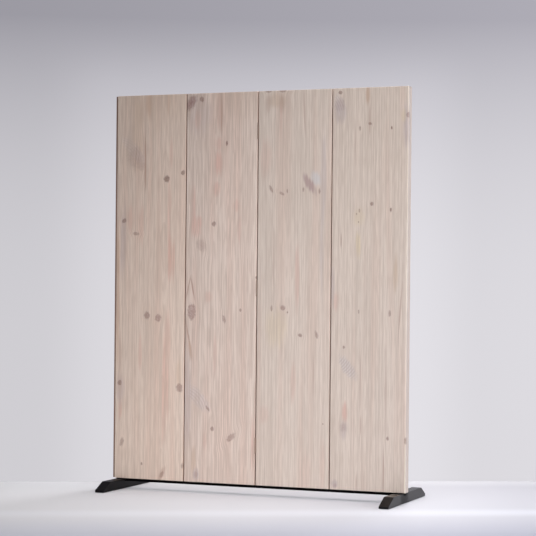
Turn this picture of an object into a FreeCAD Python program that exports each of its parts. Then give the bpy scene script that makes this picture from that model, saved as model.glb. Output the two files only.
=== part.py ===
import FreeCAD, Part
import Sketcher
import os

# Folding room divider screen: four double-boarded pine leaves, three hinged joints and two black feet.
# Frame: +Z up, the floor at Z = 0, -Y is the front. X = 0 and Y = 0 are the middle of the footprint.

document = FreeCAD.newDocument("RoomDivider")
sheet = document.addObject("Spreadsheet::Sheet", "Sizes")

DRIVING_SIZES = {
    # leaves
    "leaf_count": 4,
    "leaf_pitch": 300,          # from one joint line to the next
    "joint_space": 3,           # free width between two leaves standing in line
    "board_height": 1500,
    "board_thick": 13,
    "board_bevel": 3,
    "end_bevel": 1,
    "core_thick": 16,
    "floor_clear": 40,          # from the floor to the boards
    "panel_setback": 51,        # the panel's front face stands this far in front of the feet's middle
    # inner frame
    "stile_wide": 45,
    "rail_tall": 60,
    "rail_count": 3,
    "groove_deep": 20,
    "tongue_thick": 10,
    "tongue_seat": 12,
    "tongue_reach": 14,         # past the joint line, into the next leaf
    # base strip and its screws
    "strip_thick": 11,
    "strip_inset": 5,
    "strip_screw_pitch": 70,
    "strip_screw_radius": 2,
    "strip_screw_length": 32,
    "strip_head_radius": 4,
    # hinges
    "hinge_tall": 60,
    "hinge_count": 3,
    "hinge_edge": 150,          # from the board's end to the middle of the outer hinges
    "knuckle_radius": 2.6,
    "knuckle_count": 5,
    "knuckle_space": 0.3,
    "pin_radius": 1.3,
    "pin_play": 0.05,
    "pin_head_radius": 2.4,
    "pin_head_tall": 1.2,
    "plate_thick": 1.2,
    "plate_root": 1.8,
    "plate_reach": 12.5,
    "plate_screw_out": 7.5,
    "plate_screw_pitch": 20,
    "plate_screw_count": 3,
    "plate_screw_radius": 1.4,
    "plate_screw_length": 16,
    "plate_head_radius": 2.4,
    # feet
    "foot_length": 450,
    "foot_wide": 38,
    "foot_top": 37.5,
    "foot_inset": 8,            # from the outer joint line to the foot's outer side
    "foot_front_slant": 60,
    "foot_rear_slant": 50,
    "foot_front_toe_tall": 8,   # the upright stretch below each slanted end
    "foot_rear_toe_tall": 9,
    "foot_edge_round": 0.8,
    "notch_play": 0.5,
    "foot_screw_near": 12,      # from the foot's outer side to the first screw
    "foot_screw_pitch": 16,
    "foot_screw_radius": 3,
    "foot_screw_play": 0.2,
    "foot_screw_length": 45,
    "foot_head_radius": 5,
    "foot_head_tall": 6,
    "foot_head_space": 0.8,
    "foot_head_sunk": 5,        # from the foot's underside to the screw head
    "foot_hex_wide": 5,
    "insert_radius": 5,
    "insert_play": 0.05,
    "insert_tall": 22,
    "pad_radius": 10,
    "pad_thick": 3,
    "pad_proud": 1,
    "pad_edge": 30,             # from the foot's end to the pad's middle
}

for row, (alias, value) in enumerate(DRIVING_SIZES.items(), start=1):
    sheet.set(f"A{row}", alias.replace("_", " "))
    sheet.set(f"B{row}", str(value))
    sheet.setAlias(f"B{row}", alias)
document.recompute()


def size(text):
    """Turn the plain alias names in an expression into references to the sheet."""
    words = text.replace("(", " ( ").replace(")", " ) ").split()
    return " ".join(f"Sizes.{word}" if word in DRIVING_SIZES else word for word in words)


def number(text):
    """Give an expression's present value in millimetres."""
    return float(sheet.evalExpression(size(text)))


# Places that several pieces share, as expressions
LEAF_COUNT = DRIVING_SIZES["leaf_count"]
FIRST_JOINT = "( ( joint_space / 2 + tongue_reach - leaf_count * leaf_pitch ) / 2 )"
BOARD_WIDE = "( leaf_pitch - joint_space )"
LEAF_THICK = "( 2 * board_thick + core_thick )"
FACE_Y = "( 0 - panel_setback )"
BACK_Y = f"( {LEAF_THICK} - panel_setback )"
CORE_Y = "( board_thick - panel_setback )"
MIDDLE_Y = "( board_thick + core_thick / 2 - panel_setback )"
STRIP_Z = "( floor_clear - strip_thick )"
STRIP_WIDE = f"( {LEAF_THICK} - 2 * strip_inset )"
STRIP_SCREW_SIDES = ("- strip_screw_pitch", "+ 0", "+ strip_screw_pitch")


def joint_x(index):
    """X of joint line number index: 0 is the left end, leaf_count the right end."""
    return f"( {FIRST_JOINT} + {index} * leaf_pitch )"


def leaf_left(index):
    return f"( {joint_x(index)} + joint_space / 2 )"


def leaf_right(index):
    return f"( {joint_x(index + 1)} - joint_space / 2 )"


# ---------------------------------------------------------------- building blocks

def new_body(label, place, turned=False):
    """A body whose place is bound to the sheet; turned swings it half a turn about Z."""
    body = document.addObject("PartDesign::Body", label)
    body.Label = label
    if turned:
        body.Placement.Rotation = FreeCAD.Rotation(FreeCAD.Vector(0, 0, 1), 180)
    for axis, text in zip("xyz", place):
        body.setExpression(f".Placement.Base.{axis}", size(text))
    return body


def origin_feature(body, role):
    return next(item for item in body.Origin.OriginFeatures if item.Role == role)


def new_sketch(body, role, offset=None):
    """A sketch on one of the body's own origin planes, moved out along its normal by offset."""
    sketch = body.newObject("Sketcher::SketchObject", f"{body.Name}_sketch")
    sketch.AttachmentSupport = [(origin_feature(body, role), "")]
    sketch.MapMode = "FlatFace"
    if offset:
        sketch.setExpression(".AttachmentOffset.Base.z", size(offset))
    return sketch


def pin_point(sketch, geometry, vertex, across, upward):
    """Hold a point of the sketch at two distances from the origin, both bound to the sheet."""
    for kind, text in (("DistanceX", across), ("DistanceY", upward)):
        value = number(text)
        if abs(value) < 1e-9:
            axis = -2 if kind == "DistanceX" else -1
            sketch.addConstraint(Sketcher.Constraint("PointOnObject", geometry, vertex, axis))
            continue
        ends = (-1, 1, geometry, vertex) if value > 0 else (geometry, vertex, -1, 1)
        index = sketch.addConstraint(Sketcher.Constraint(kind, *ends, abs(value)))
        signed = size(text) if value > 0 else f"0 - ( {size(text)} )"
        sketch.setExpression(f"Constraints[{index}]", signed)


def draw_polygon(sketch, corners):
    """A closed outline of straight edges; each corner is a pair of expressions."""
    points = [FreeCAD.Vector(number(across), number(upward), 0) for across, upward in corners]
    first = sketch.GeometryCount
    count = len(points)
    for index, point in enumerate(points):
        sketch.addGeometry(Part.LineSegment(point, points[(index + 1) % count]), False)
    for index in range(count):
        following = first + (index + 1) % count
        sketch.addConstraint(Sketcher.Constraint("Coincident", first + index, 2, following, 1))
    for index, (across, upward) in enumerate(corners):
        pin_point(sketch, first + index, 1, across, upward)


def rectangle(left, low, right, high):
    return [(left, low), (right, low), (right, high), (left, high)]


def draw_circle(sketch, across, upward, radius):
    middle = FreeCAD.Vector(number(across), number(upward), 0)
    index = sketch.addGeometry(Part.Circle(middle, FreeCAD.Vector(0, 0, 1), number(radius)), False)
    pin_point(sketch, index, 3, across, upward)
    held = sketch.addConstraint(Sketcher.Constraint("Radius", index, number(radius)))
    sketch.setExpression(f"Constraints[{held}]", size(radius))


def pad(body, sketch, length):
    feature = body.newObject("PartDesign::Pad", f"{body.Name}_pad")
    feature.Profile = sketch
    feature.setExpression("Length", size(length))
    sketch.Visibility = False
    document.recompute()
    return feature


def pocket(body, sketch, length, upward=True):
    """Cut the sketch out of the body, along its normal when upward is true."""
    before = body.Shape.Volume
    feature = body.newObject("PartDesign::Pocket", f"{body.Name}_pocket")
    feature.Profile = sketch
    feature.setExpression("Length", size(length))
    feature.Reversed = upward
    document.recompute()
    if body.Shape.Volume >= before:
        raise RuntimeError(f"a pocket in {body.Label} cuts nothing")
    return feature


def revolve(body, sketch, axis="V_Axis"):
    feature = body.newObject("PartDesign::Revolution", f"{body.Name}_turned")
    feature.Profile = sketch
    feature.ReferenceAxis = (sketch, [axis])
    feature.Angle = 360
    document.recompute()
    return feature


def repeat(body, role, length, count):
    """Copy the whole body count times over length along one of its origin axes."""
    feature = body.newObject("PartDesign::LinearPattern", f"{body.Name}_row")
    feature.TransformMode = "Whole shape"
    feature.Direction = (origin_feature(body, role), [""])
    feature.setExpression("Length", size(length))
    feature.setExpression("Occurrences", size(count))
    body.Tip = feature
    document.recompute()
    return feature


def countersink(body, sketch, shank_radius, head_radius, upward=True):
    """Countersunk through holes at the sketch's circles."""
    document.recompute()
    before = body.Shape.Volume
    hole = body.newObject("PartDesign::Hole", f"{body.Name}_holes")
    hole.Profile = sketch
    hole.DepthType = "ThroughAll"
    hole.HoleCutType = "Countersink"
    hole.setExpression("Diameter", size(f"2 * ( {shank_radius} )"))
    hole.setExpression("HoleCutDiameter", size(f"2 * ( {head_radius} )"))
    hole.HoleCutCountersinkAngle = 90
    hole.Reversed = upward
    document.recompute()
    if body.Shape.Volume >= before:
        raise RuntimeError(f"the holes in {body.Label} cut nothing")
    return hole


# ---------------------------------------------------------------- leaves

def make_board(label, index, front):
    """A wide pine board, its outer face bevelled along both long edges and eased at both ends."""
    body = new_body(label, (leaf_left(index), FACE_Y if front else f"{BACK_Y} - board_thick", "floor_clear"))
    outer, inner = ("0", "board_thick") if front else ("board_thick", "0")
    shoulder = "board_bevel" if front else "board_thick - board_bevel"
    sketch = new_sketch(body, "XY_Plane")
    draw_polygon(sketch, [
        ("0", shoulder),
        ("board_bevel", outer),
        (f"{BOARD_WIDE} - board_bevel", outer),
        (BOARD_WIDE, shoulder),
        (BOARD_WIDE, inner),
        ("0", inner),
    ])
    plank = pad(body, sketch, "board_height")
    face_y = number(outer)
    ends = []
    for count, edge in enumerate(plank.Shape.Edges, start=1):
        box = edge.BoundBox
        if box.YLength < 1e-6 and abs(box.YMin - face_y) < 1e-6 and box.ZLength < 1e-6:
            ends.append(f"Edge{count}")
    eased = body.newObject("PartDesign::Chamfer", f"{body.Name}_eased")
    eased.Base = (plank, ends)
    eased.setExpression("Size", size("end_bevel"))
    body.Tip = eased
    document.recompute()
    for joint, right_edge in ((index, False), (index + 1, True)):
        if 0 < joint < LEAF_COUNT and front != hinge_place(joint)[1]:
            drill_hinge_edge(body, joint, right_edge)
    return body


def drill_hinge_edge(board, joint, right_edge):
    """Pilot holes for the hinge screws, into one long edge of a board."""
    place, rear = hinge_place(joint)
    depth = "( board_thick - plate_screw_out )" if rear else "plate_screw_out"
    holes = new_sketch(board, "YZ_Plane", offset=BOARD_WIDE if right_edge else "0")
    for hinge in range(DRIVING_SIZES["hinge_count"]):
        spread = "( board_height - 2 * hinge_edge ) / ( hinge_count - 1 )"
        for screw in range(DRIVING_SIZES["plate_screw_count"]):
            upward = f"hinge_edge + {hinge} * {spread} + {screw - 1} * plate_screw_pitch"
            draw_circle(holes, depth, upward, "plate_screw_radius + pin_play")
    pocket(board, holes, "plate_screw_length", upward=not right_edge)


def drill_foot_end(stile, index, stile_left):
    """Seats for the threaded sleeves, in the lower end of a stile that stands on a foot."""
    seats = new_sketch(stile, "XY_Plane")
    for place in foot_screw_x(index):
        draw_circle(seats, f"{place} - {stile_left}", "core_thick / 2", "insert_radius")
    pocket(stile, seats, "insert_tall")


def make_left_stile(label, index):
    """The upright that the tongue is glued into."""
    body = new_body(label, (leaf_left(index), CORE_Y, "floor_clear"))
    sketch = new_sketch(body, "XY_Plane")
    low = "( core_thick - tongue_thick ) / 2"
    high = "( core_thick + tongue_thick ) / 2"
    draw_polygon(sketch, [
        ("0", "0"),
        ("stile_wide", "0"),
        ("stile_wide", "core_thick"),
        ("0", "core_thick"),
        ("0", high),
        ("tongue_seat", high),
        ("tongue_seat", low),
        ("0", low),
    ])
    pad(body, sketch, "board_height")
    if index == 0:
        drill_foot_end(body, index, leaf_left(index))
    return body


def right_recess(index):
    """The right stile stands back to leave a groove, except at the screen's free end."""
    return "groove_deep" if index < LEAF_COUNT - 1 else "0"


def make_right_stile(label, index):
    left = f"( {leaf_right(index)} - {right_recess(index)} - stile_wide )"
    body = new_body(label, (left, CORE_Y, "floor_clear"))
    sketch = new_sketch(body, "XY_Plane")
    draw_polygon(sketch, rectangle("0", "0", "stile_wide", "core_thick"))
    pad(body, sketch, "board_height")
    if index == LEAF_COUNT - 1:
        drill_foot_end(body, index, left)
    return body


def make_tongue(label, index):
    """The round-nosed strip that closes the joint to the leaf on the left."""
    body = new_body(label, (f"{joint_x(index)} - tongue_reach", f"{MIDDLE_Y} - tongue_thick / 2", "floor_clear"))
    sketch = new_sketch(body, "XY_Plane")
    nose, thick = number("tongue_thick / 2"), number("tongue_thick")
    back = number("tongue_reach + joint_space / 2 + tongue_seat")
    corners = [(nose, 0), (back, 0), (back, thick), (nose, thick)]
    points = [FreeCAD.Vector(across, upward, 0) for across, upward in corners]
    for start, end in zip(points, points[1:]):
        sketch.addGeometry(Part.LineSegment(start, end), False)
    sketch.addGeometry(Part.Arc(points[3], FreeCAD.Vector(0, nose, 0), points[0]), False)
    sketch.addConstraint([
        Sketcher.Constraint("Coincident", 0, 2, 1, 1),
        Sketcher.Constraint("Coincident", 1, 2, 2, 1),
        Sketcher.Constraint("Horizontal", 0),
        Sketcher.Constraint("Horizontal", 2),
        Sketcher.Constraint("Tangent", 3, 2, 0, 1),
        Sketcher.Constraint("Tangent", 2, 2, 3, 1),
    ])
    pin_point(sketch, 1, 1, "tongue_reach + joint_space / 2 + tongue_seat", "0")
    pin_point(sketch, 2, 1, "tongue_reach + joint_space / 2 + tongue_seat", "tongue_thick")
    held = sketch.addConstraint(Sketcher.Constraint("DistanceX", -1, 1, 3, 3, nose))
    sketch.setExpression(f"Constraints[{held}]", size("tongue_thick / 2"))
    pad(body, sketch, "board_height")
    return body


def make_rails(label, index):
    """Three cross pieces between the stiles; the bottom one takes the base strip's screws."""
    start = f"( {leaf_left(index)} + stile_wide )"
    body = new_body(label, (start, CORE_Y, "floor_clear"))
    sketch = new_sketch(body, "XY_Plane")
    length = f"{BOARD_WIDE} - 2 * stile_wide - {right_recess(index)}"
    draw_polygon(sketch, rectangle("0", "0", length, "core_thick"))
    pad(body, sketch, "rail_tall")
    repeat(body, "Z_Axis", "board_height - rail_tall", "rail_count")
    holes = new_sketch(body, "XY_Plane")
    for side in STRIP_SCREW_SIDES:
        place = f"{rail_middle(index)} {side} - {start}"
        draw_circle(holes, place, "core_thick / 2", "strip_screw_radius + pin_play")
    pocket(body, holes, "strip_screw_length")
    return body


def strip_ends(index):
    """How far the strip stops short of the leaf's left and right edges."""
    left = "( foot_inset - joint_space / 2 )" if index == 0 else "0"
    right = "( foot_inset - joint_space / 2 )" if index == LEAF_COUNT - 1 else "0"
    return left, right


def foot_screw_x(index):
    """X of the two foot screws in the leaf's outer stile, or nothing under an inner leaf."""
    near = "foot_inset + foot_screw_near"
    if index == 0:
        return [f"( {joint_x(0)} + {near} )", f"( {joint_x(0)} + {near} + foot_screw_pitch )"]
    if index == LEAF_COUNT - 1:
        end = joint_x(LEAF_COUNT)
        return [f"( {end} - ( {near} ) )", f"( {end} - ( {near} ) - foot_screw_pitch )"]
    return []


def rail_middle(index):
    """X of the middle of the rails."""
    return f"( ( {leaf_left(index)} + {leaf_right(index)} - {right_recess(index)} ) / 2 )"


def make_strip(label, index):
    """The black flat bar under the leaf, drilled for its screws and, at the ends, for the foot."""
    left, right = strip_ends(index)
    start = f"( {leaf_left(index)} + {left} )"
    body = new_body(label, (start, f"{FACE_Y} + strip_inset", STRIP_Z))
    outline = new_sketch(body, "XY_Plane")
    draw_polygon(outline, rectangle("0", "0", f"{BOARD_WIDE} - {left} - {right}", STRIP_WIDE))
    pad(body, outline, "strip_thick")
    middle = f"{STRIP_WIDE} / 2"
    screws = new_sketch(body, "XY_Plane")
    for side in STRIP_SCREW_SIDES:
        draw_circle(screws, f"{rail_middle(index)} {side} - {start}", middle, "strip_screw_radius")
    countersink(body, screws, "strip_screw_radius + pin_play", "strip_head_radius + pin_play")
    places = foot_screw_x(index)
    if places:
        passing = new_sketch(body, "XY_Plane")
        for place in places:
            draw_circle(passing, f"{place} - {start}", middle, "foot_screw_radius + foot_screw_play")
        pocket(body, passing, "strip_thick")
    return body


def make_screw(body, shank_radius, head_radius, length):
    """A countersunk screw standing on its head, with a straight slot in it."""
    sketch = new_sketch(body, "XZ_Plane")
    cone = f"( {head_radius} - {shank_radius} )"
    draw_polygon(sketch, [
        ("0", "0"),
        (head_radius, "0"),
        (shank_radius, cone),
        (shank_radius, f"{length} - {shank_radius}"),
        ("0", length),
    ])
    revolve(body, sketch)
    groove = new_sketch(body, "XY_Plane")
    wide = f"{head_radius} / 8"
    draw_polygon(groove, rectangle(f"0 - {head_radius} * 2", f"0 - {wide}", f"{head_radius} * 2", wide))
    pocket(body, groove, f"{cone} / 2")


def make_strip_screws(label, index):
    """Three countersunk screws, from below, through the strip into the bottom rail."""
    first = f"{rail_middle(index)} - strip_screw_pitch"
    body = new_body(label, (first, MIDDLE_Y, STRIP_Z))
    make_screw(body, "strip_screw_radius", "strip_head_radius", "strip_screw_length")
    repeat(body, "X_Axis", "2 * strip_screw_pitch", "3")
    return body


# ---------------------------------------------------------------- hinges

def hinge_place(joint):
    """Joints swing about the back face and the front face in turn, as a folding screen does."""
    rear = joint % 2 == 1
    return (joint_x(joint), BACK_Y if rear else FACE_Y, "floor_clear + hinge_edge - hinge_tall / 2"), rear


def hinge_row(body):
    repeat(body, "Z_Axis", "board_height - 2 * hinge_edge", "hinge_count")


def make_plates(label, joint, outer_knuckles):
    """One side of the joint's hinges. The side with the outer knuckles has one knuckle more."""
    place, rear = hinge_place(joint)
    body = new_body(label, place, turned=rear)
    near, far = "joint_space / 2 - plate_thick", "joint_space / 2"
    low, high = (f"0 - ( {far} )", f"0 - ( {near} )") if outer_knuckles else (near, far)
    barrel = new_sketch(body, "XY_Plane")
    draw_circle(barrel, "0", "0", "knuckle_radius")
    pad(body, barrel, "hinge_tall")
    plate = new_sketch(body, "XY_Plane")
    draw_polygon(plate, rectangle(low, "plate_root", high, "plate_reach"))
    pad(body, plate, "hinge_tall")
    step = "( ( hinge_tall + knuckle_space ) / knuckle_count )"
    own = f"( {step} - knuckle_space )"
    knuckle_count = DRIVING_SIZES["knuckle_count"]
    for knuckle in range(1 if outer_knuckles else 0, knuckle_count, 2):
        start = f"{knuckle} * {step} - knuckle_space" if knuckle else "0 - knuckle_space"
        space = new_sketch(body, "XY_Plane", offset=start)
        draw_circle(space, "0", "0", "knuckle_radius + knuckle_space")
        pocket(body, space, f"{own} + 2 * knuckle_space")
    bore = new_sketch(body, "XY_Plane")
    draw_circle(bore, "0", "0", "pin_radius + pin_play")
    pocket(body, bore, "hinge_tall")
    holes = new_sketch(body, "YZ_Plane", offset=high if outer_knuckles else low)
    for count in range(DRIVING_SIZES["plate_screw_count"]):
        upward = f"hinge_tall / 2 + {count - 1} * plate_screw_pitch"
        draw_circle(holes, "plate_screw_out", upward, "plate_screw_radius")
    countersink(body, holes, "plate_screw_radius + pin_play", "plate_head_radius + pin_play",
                upward=not outer_knuckles)
    hinge_row(body)
    return body


def make_pins(label, joint):
    """Hinge pins with a low domed head at each end."""
    place, rear = hinge_place(joint)
    body = new_body(label, place, turned=rear)
    sketch = new_sketch(body, "XZ_Plane")
    below = "0 - knuckle_space"
    above = "hinge_tall + knuckle_space"
    draw_polygon(sketch, [
        ("0", f"{below} - pin_head_tall"),
        ("pin_radius", f"{below} - pin_head_tall"),
        ("pin_head_radius", f"{below} - pin_head_tall / 3"),
        ("pin_head_radius", below),
        ("pin_radius", below),
        ("pin_radius", above),
        ("pin_head_radius", above),
        ("pin_head_radius", f"{above} + pin_head_tall / 3"),
        ("pin_radius", f"{above} + pin_head_tall"),
        ("0", f"{above} + pin_head_tall"),
    ])
    revolve(body, sketch)
    hinge_row(body)
    return body


def make_hinge_screws(label, joint, outer_knuckles):
    """Countersunk wood screws through one side of the joint's hinges, into the board's edge."""
    place, rear = hinge_place(joint)
    body = new_body(label, place, turned=rear)
    sketch = new_sketch(body, "XY_Plane", offset="hinge_tall / 2 - plate_screw_pitch")
    side = "0 - " if outer_knuckles else ""
    face = "( joint_space / 2 - plate_thick )"
    cone = "( plate_head_radius - plate_screw_radius )"
    outline = [
        (f"{side}{face}", "plate_screw_out"),
        (f"{side}{face}", "plate_screw_out + plate_head_radius"),
        (f"{side}( {face} + {cone} )", "plate_screw_out + plate_screw_radius"),
        (f"{side}( {face} + plate_screw_length - plate_screw_radius )", "plate_screw_out + plate_screw_radius"),
        (f"{side}( {face} + plate_screw_length )", "plate_screw_out"),
    ]
    draw_polygon(sketch, outline)
    revolve(body, sketch, axis="Edge5")
    span = f"{DRIVING_SIZES['plate_screw_count'] - 1} * plate_screw_pitch"
    repeat(body, "Z_Axis", span, "plate_screw_count")
    hinge_row(body)
    return body


# ---------------------------------------------------------------- feet

def foot_left_x(right):
    if right:
        return f"{joint_x(LEAF_COUNT)} - foot_inset - foot_wide"
    return f"{joint_x(0)} + foot_inset"


def foot_screw_offsets(right):
    """Distances of the two screws from the foot's left side."""
    if right:
        return ["foot_wide - foot_screw_near - foot_screw_pitch", "foot_wide - foot_screw_near"]
    return ["foot_screw_near", "foot_screw_near + foot_screw_pitch"]


SCREW_Y = f"{MIDDLE_Y} + foot_length / 2"


def make_foot(label, right):
    """The foot bar: slanted ends, a shallow notch for the base strip, screw holes and pad seats."""
    body = new_body(label, (foot_left_x(right), "0 - foot_length / 2", "pad_proud"))
    top = "foot_top - pad_proud"
    side = new_sketch(body, "YZ_Plane")
    draw_polygon(side, [
        ("0", "0"),
        ("foot_length", "0"),
        ("foot_length", "foot_rear_toe_tall"),
        ("foot_length - foot_rear_slant", top),
        ("foot_front_slant", top),
        ("0", "foot_front_toe_tall"),
    ])
    bar = pad(body, side, "foot_wide")
    rounded = body.newObject("PartDesign::Fillet", f"{body.Name}_rounded")
    rounded.Base = (bar, [f"Edge{count}" for count in range(1, len(bar.Shape.Edges) + 1)])
    rounded.setExpression("Radius", size("foot_edge_round"))
    body.Tip = rounded
    document.recompute()
    notch = new_sketch(body, "YZ_Plane")
    strip_front = f"{FACE_Y} + strip_inset + foot_length / 2"
    low = f"{STRIP_Z} - pad_proud"
    draw_polygon(notch, rectangle(f"{strip_front} - notch_play", low,
                                  f"{strip_front} + {STRIP_WIDE} + notch_play", "foot_top + pad_proud"))
    pocket(body, notch, "foot_wide")
    passing = new_sketch(body, "XY_Plane")
    sunk = new_sketch(body, "XY_Plane")
    for offset in foot_screw_offsets(right):
        draw_circle(passing, offset, SCREW_Y, "foot_screw_radius + foot_screw_play")
        draw_circle(sunk, offset, SCREW_Y, "foot_head_radius + foot_head_space")
    pocket(body, passing, "foot_top")
    pocket(body, sunk, "foot_head_sunk + foot_head_tall")
    seats = new_sketch(body, "XY_Plane")
    for along in ("pad_edge", "foot_length - pad_edge"):
        draw_circle(seats, "foot_wide / 2", along, "pad_radius")
    pocket(body, seats, "pad_thick - pad_proud")
    return body


def make_foot_pads(label, right):
    """Two round rubber pads let into the underside."""
    middle = f"{foot_left_x(right)} + foot_wide / 2"
    body = new_body(label, (middle, "pad_edge - foot_length / 2", "0"))
    sketch = new_sketch(body, "XY_Plane")
    draw_circle(sketch, "0", "0", "pad_radius")
    pad(body, sketch, "pad_thick")
    repeat(body, "Y_Axis", "foot_length - 2 * pad_edge", "2")
    return body


def make_foot_screws(label, right):
    """Two socket head screws that hold the foot and the strip's end to the leaf."""
    first = f"{foot_left_x(right)} + {foot_screw_offsets(right)[0]}"
    body = new_body(label, (first, MIDDLE_Y, "pad_proud + foot_head_sunk"))
    sketch = new_sketch(body, "XZ_Plane")
    draw_polygon(sketch, [
        ("0", "0"),
        ("foot_head_radius", "0"),
        ("foot_head_radius", "foot_head_tall"),
        ("foot_screw_radius", "foot_head_tall"),
        ("foot_screw_radius", "foot_head_tall + foot_screw_length"),
        ("0", "foot_head_tall + foot_screw_length"),
    ])
    revolve(body, sketch)
    socket = new_sketch(body, "XY_Plane")
    corner = "foot_hex_wide / ( 3 ^ 0.5 )"
    draw_polygon(socket, [
        (corner, "0"),
        (f"{corner} / 2", "foot_hex_wide / 2"),
        (f"0 - {corner} / 2", "foot_hex_wide / 2"),
        (f"0 - {corner}", "0"),
        (f"0 - {corner} / 2", "0 - foot_hex_wide / 2"),
        (f"{corner} / 2", "0 - foot_hex_wide / 2"),
    ])
    pocket(body, socket, "foot_head_tall / 2")
    repeat(body, "X_Axis", "foot_screw_pitch", "2")
    return body


def make_foot_inserts(label, right):
    """Threaded sleeves in the lower end of the leaf's outer stile."""
    first = f"{foot_left_x(right)} + {foot_screw_offsets(right)[0]}"
    body = new_body(label, (first, MIDDLE_Y, "floor_clear"))
    sketch = new_sketch(body, "XY_Plane")
    draw_circle(sketch, "0", "0", "insert_radius")
    draw_circle(sketch, "0", "0", "foot_screw_radius + insert_play")
    pad(body, sketch, "insert_tall")
    repeat(body, "X_Axis", "foot_screw_pitch", "2")
    return body


# ---------------------------------------------------------------- the whole screen

def make_screen():
    """Build every sub-part and return them in order."""
    pieces = []
    for index in range(LEAF_COUNT):
        name = f"leaf_{index + 1}"
        pieces += [
            make_board(f"{name}_front_board", index, front=True),
            make_board(f"{name}_back_board", index, front=False),
            make_left_stile(f"{name}_left_stile", index),
            make_right_stile(f"{name}_right_stile", index),
            make_rails(f"{name}_rails", index),
            make_tongue(f"{name}_tongue", index),
            make_strip(f"{name}_base_strip", index),
            make_strip_screws(f"{name}_strip_screws", index),
        ]
    for joint in range(1, LEAF_COUNT):
        # A turned hinge has its outer-knuckle side on the right.
        sides = ("right", "left") if hinge_place(joint)[1] else ("left", "right")
        for side, outer_knuckles in zip(sides, (True, False)):
            pieces.append(make_plates(f"hinge_{joint}_{side}_plates", joint, outer_knuckles))
            pieces.append(make_hinge_screws(f"hinge_{joint}_{side}_screws", joint, outer_knuckles))
        pieces.append(make_pins(f"hinge_{joint}_pins", joint))
    for side, right in (("left", False), ("right", True)):
        pieces += [
            make_foot(f"{side}_foot", right),
            make_foot_pads(f"{side}_foot_pads", right),
            make_foot_screws(f"{side}_foot_screws", right),
            make_foot_inserts(f"{side}_foot_inserts", right),
        ]
    return pieces


def check(pieces):
    """Stop if any object failed or any sub-part has no valid shape."""
    for item in document.Objects:
        if "Invalid" in item.State or "Error" in item.State:
            raise RuntimeError(f"{item.Label} is {item.State}")
    for piece in pieces:
        if piece.Shape.isNull() or not piece.Shape.isValid():
            raise RuntimeError(f"{piece.Label} has no valid shape")


def export(pieces):
    os.makedirs("parts", exist_ok=True)
    for piece in pieces:
        piece.Shape.exportStep(os.path.join("parts", f"{piece.Label}.step"))


parts = make_screen()
document.recompute()
check(parts)
export(parts)
print(len(parts), "sub-parts,", sum(len(piece.Shape.Solids) for piece in parts), "solids")
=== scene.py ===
"""Finishes, fine pieces, light and camera for the folding room divider screen.

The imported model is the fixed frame: four double-boarded pine leaves on three vertical hinge lines, with a
dark strip under each leaf and two black feet. Lengths are in metres, +Z is up and -Y is the front.
"""

import logging
import math
import random
from collections.abc import Callable, Iterable, Sequence
from dataclasses import dataclass, field, replace
from enum import Enum

import bpy
from mathutils import Matrix, Vector


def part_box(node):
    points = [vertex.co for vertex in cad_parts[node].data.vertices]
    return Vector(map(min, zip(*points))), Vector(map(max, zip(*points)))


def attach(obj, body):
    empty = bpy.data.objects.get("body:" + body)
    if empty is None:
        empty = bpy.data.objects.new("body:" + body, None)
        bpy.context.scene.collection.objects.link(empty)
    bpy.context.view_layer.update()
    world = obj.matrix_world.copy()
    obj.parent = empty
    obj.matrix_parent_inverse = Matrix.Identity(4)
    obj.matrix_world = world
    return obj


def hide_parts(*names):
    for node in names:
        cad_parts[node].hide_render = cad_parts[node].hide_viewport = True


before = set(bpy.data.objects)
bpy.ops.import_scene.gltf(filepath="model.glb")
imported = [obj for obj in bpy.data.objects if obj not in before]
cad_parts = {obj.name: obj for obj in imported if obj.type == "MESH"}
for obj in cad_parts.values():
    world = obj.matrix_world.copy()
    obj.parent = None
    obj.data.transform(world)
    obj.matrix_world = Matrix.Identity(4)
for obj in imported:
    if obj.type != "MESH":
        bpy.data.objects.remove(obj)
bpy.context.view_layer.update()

log = logging.getLogger("room_divider")

LEAF_COUNT = 4
JOINT_COUNT = LEAF_COUNT - 1
SAME = 1e-5              # two places nearer than this are one place
FACING = 0.9             # a face looks along an axis when its normal has more than this share of it
ORIGIN = (0.0, 0.0, 0.0)
WHITE = (1.0, 1.0, 1.0, 1.0)

Socket = bpy.types.NodeSocket
Node = bpy.types.Node
Piece = bpy.types.Object
Material = bpy.types.Material
Feed = float | tuple[float, ...] | Socket
Colour = tuple[float, float, float, float]
Triple = tuple[float, float, float]


# ---------------------------------------------------------------- colours and node graphs

def tone(red: int, green: int, blue: int) -> Colour:
    """Turn a colour as it looks on a screen into the linear colour that a shader takes.

    Args:
        red: Red, 0 to 255.
        green: Green, 0 to 255.
        blue: Blue, 0 to 255.

    Returns:
        The linear colour with full opacity.
    """
    def straighten(value: int) -> float:
        """Undo the screen's curve for one of the three."""
        share = value / 255
        return share / 12.92 if share <= 0.04045 else ((share + 0.055) / 1.055) ** 2.4

    return straighten(red), straighten(green), straighten(blue), 1.0


@dataclass(frozen=True)
class Pattern:
    """A noise pattern: its scale on each axis per metre, its detail, its own shift and its roughness."""

    scale: Triple
    detail: float = 2.0
    shift: float = 0.0
    roughness: float = 0.5


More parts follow.
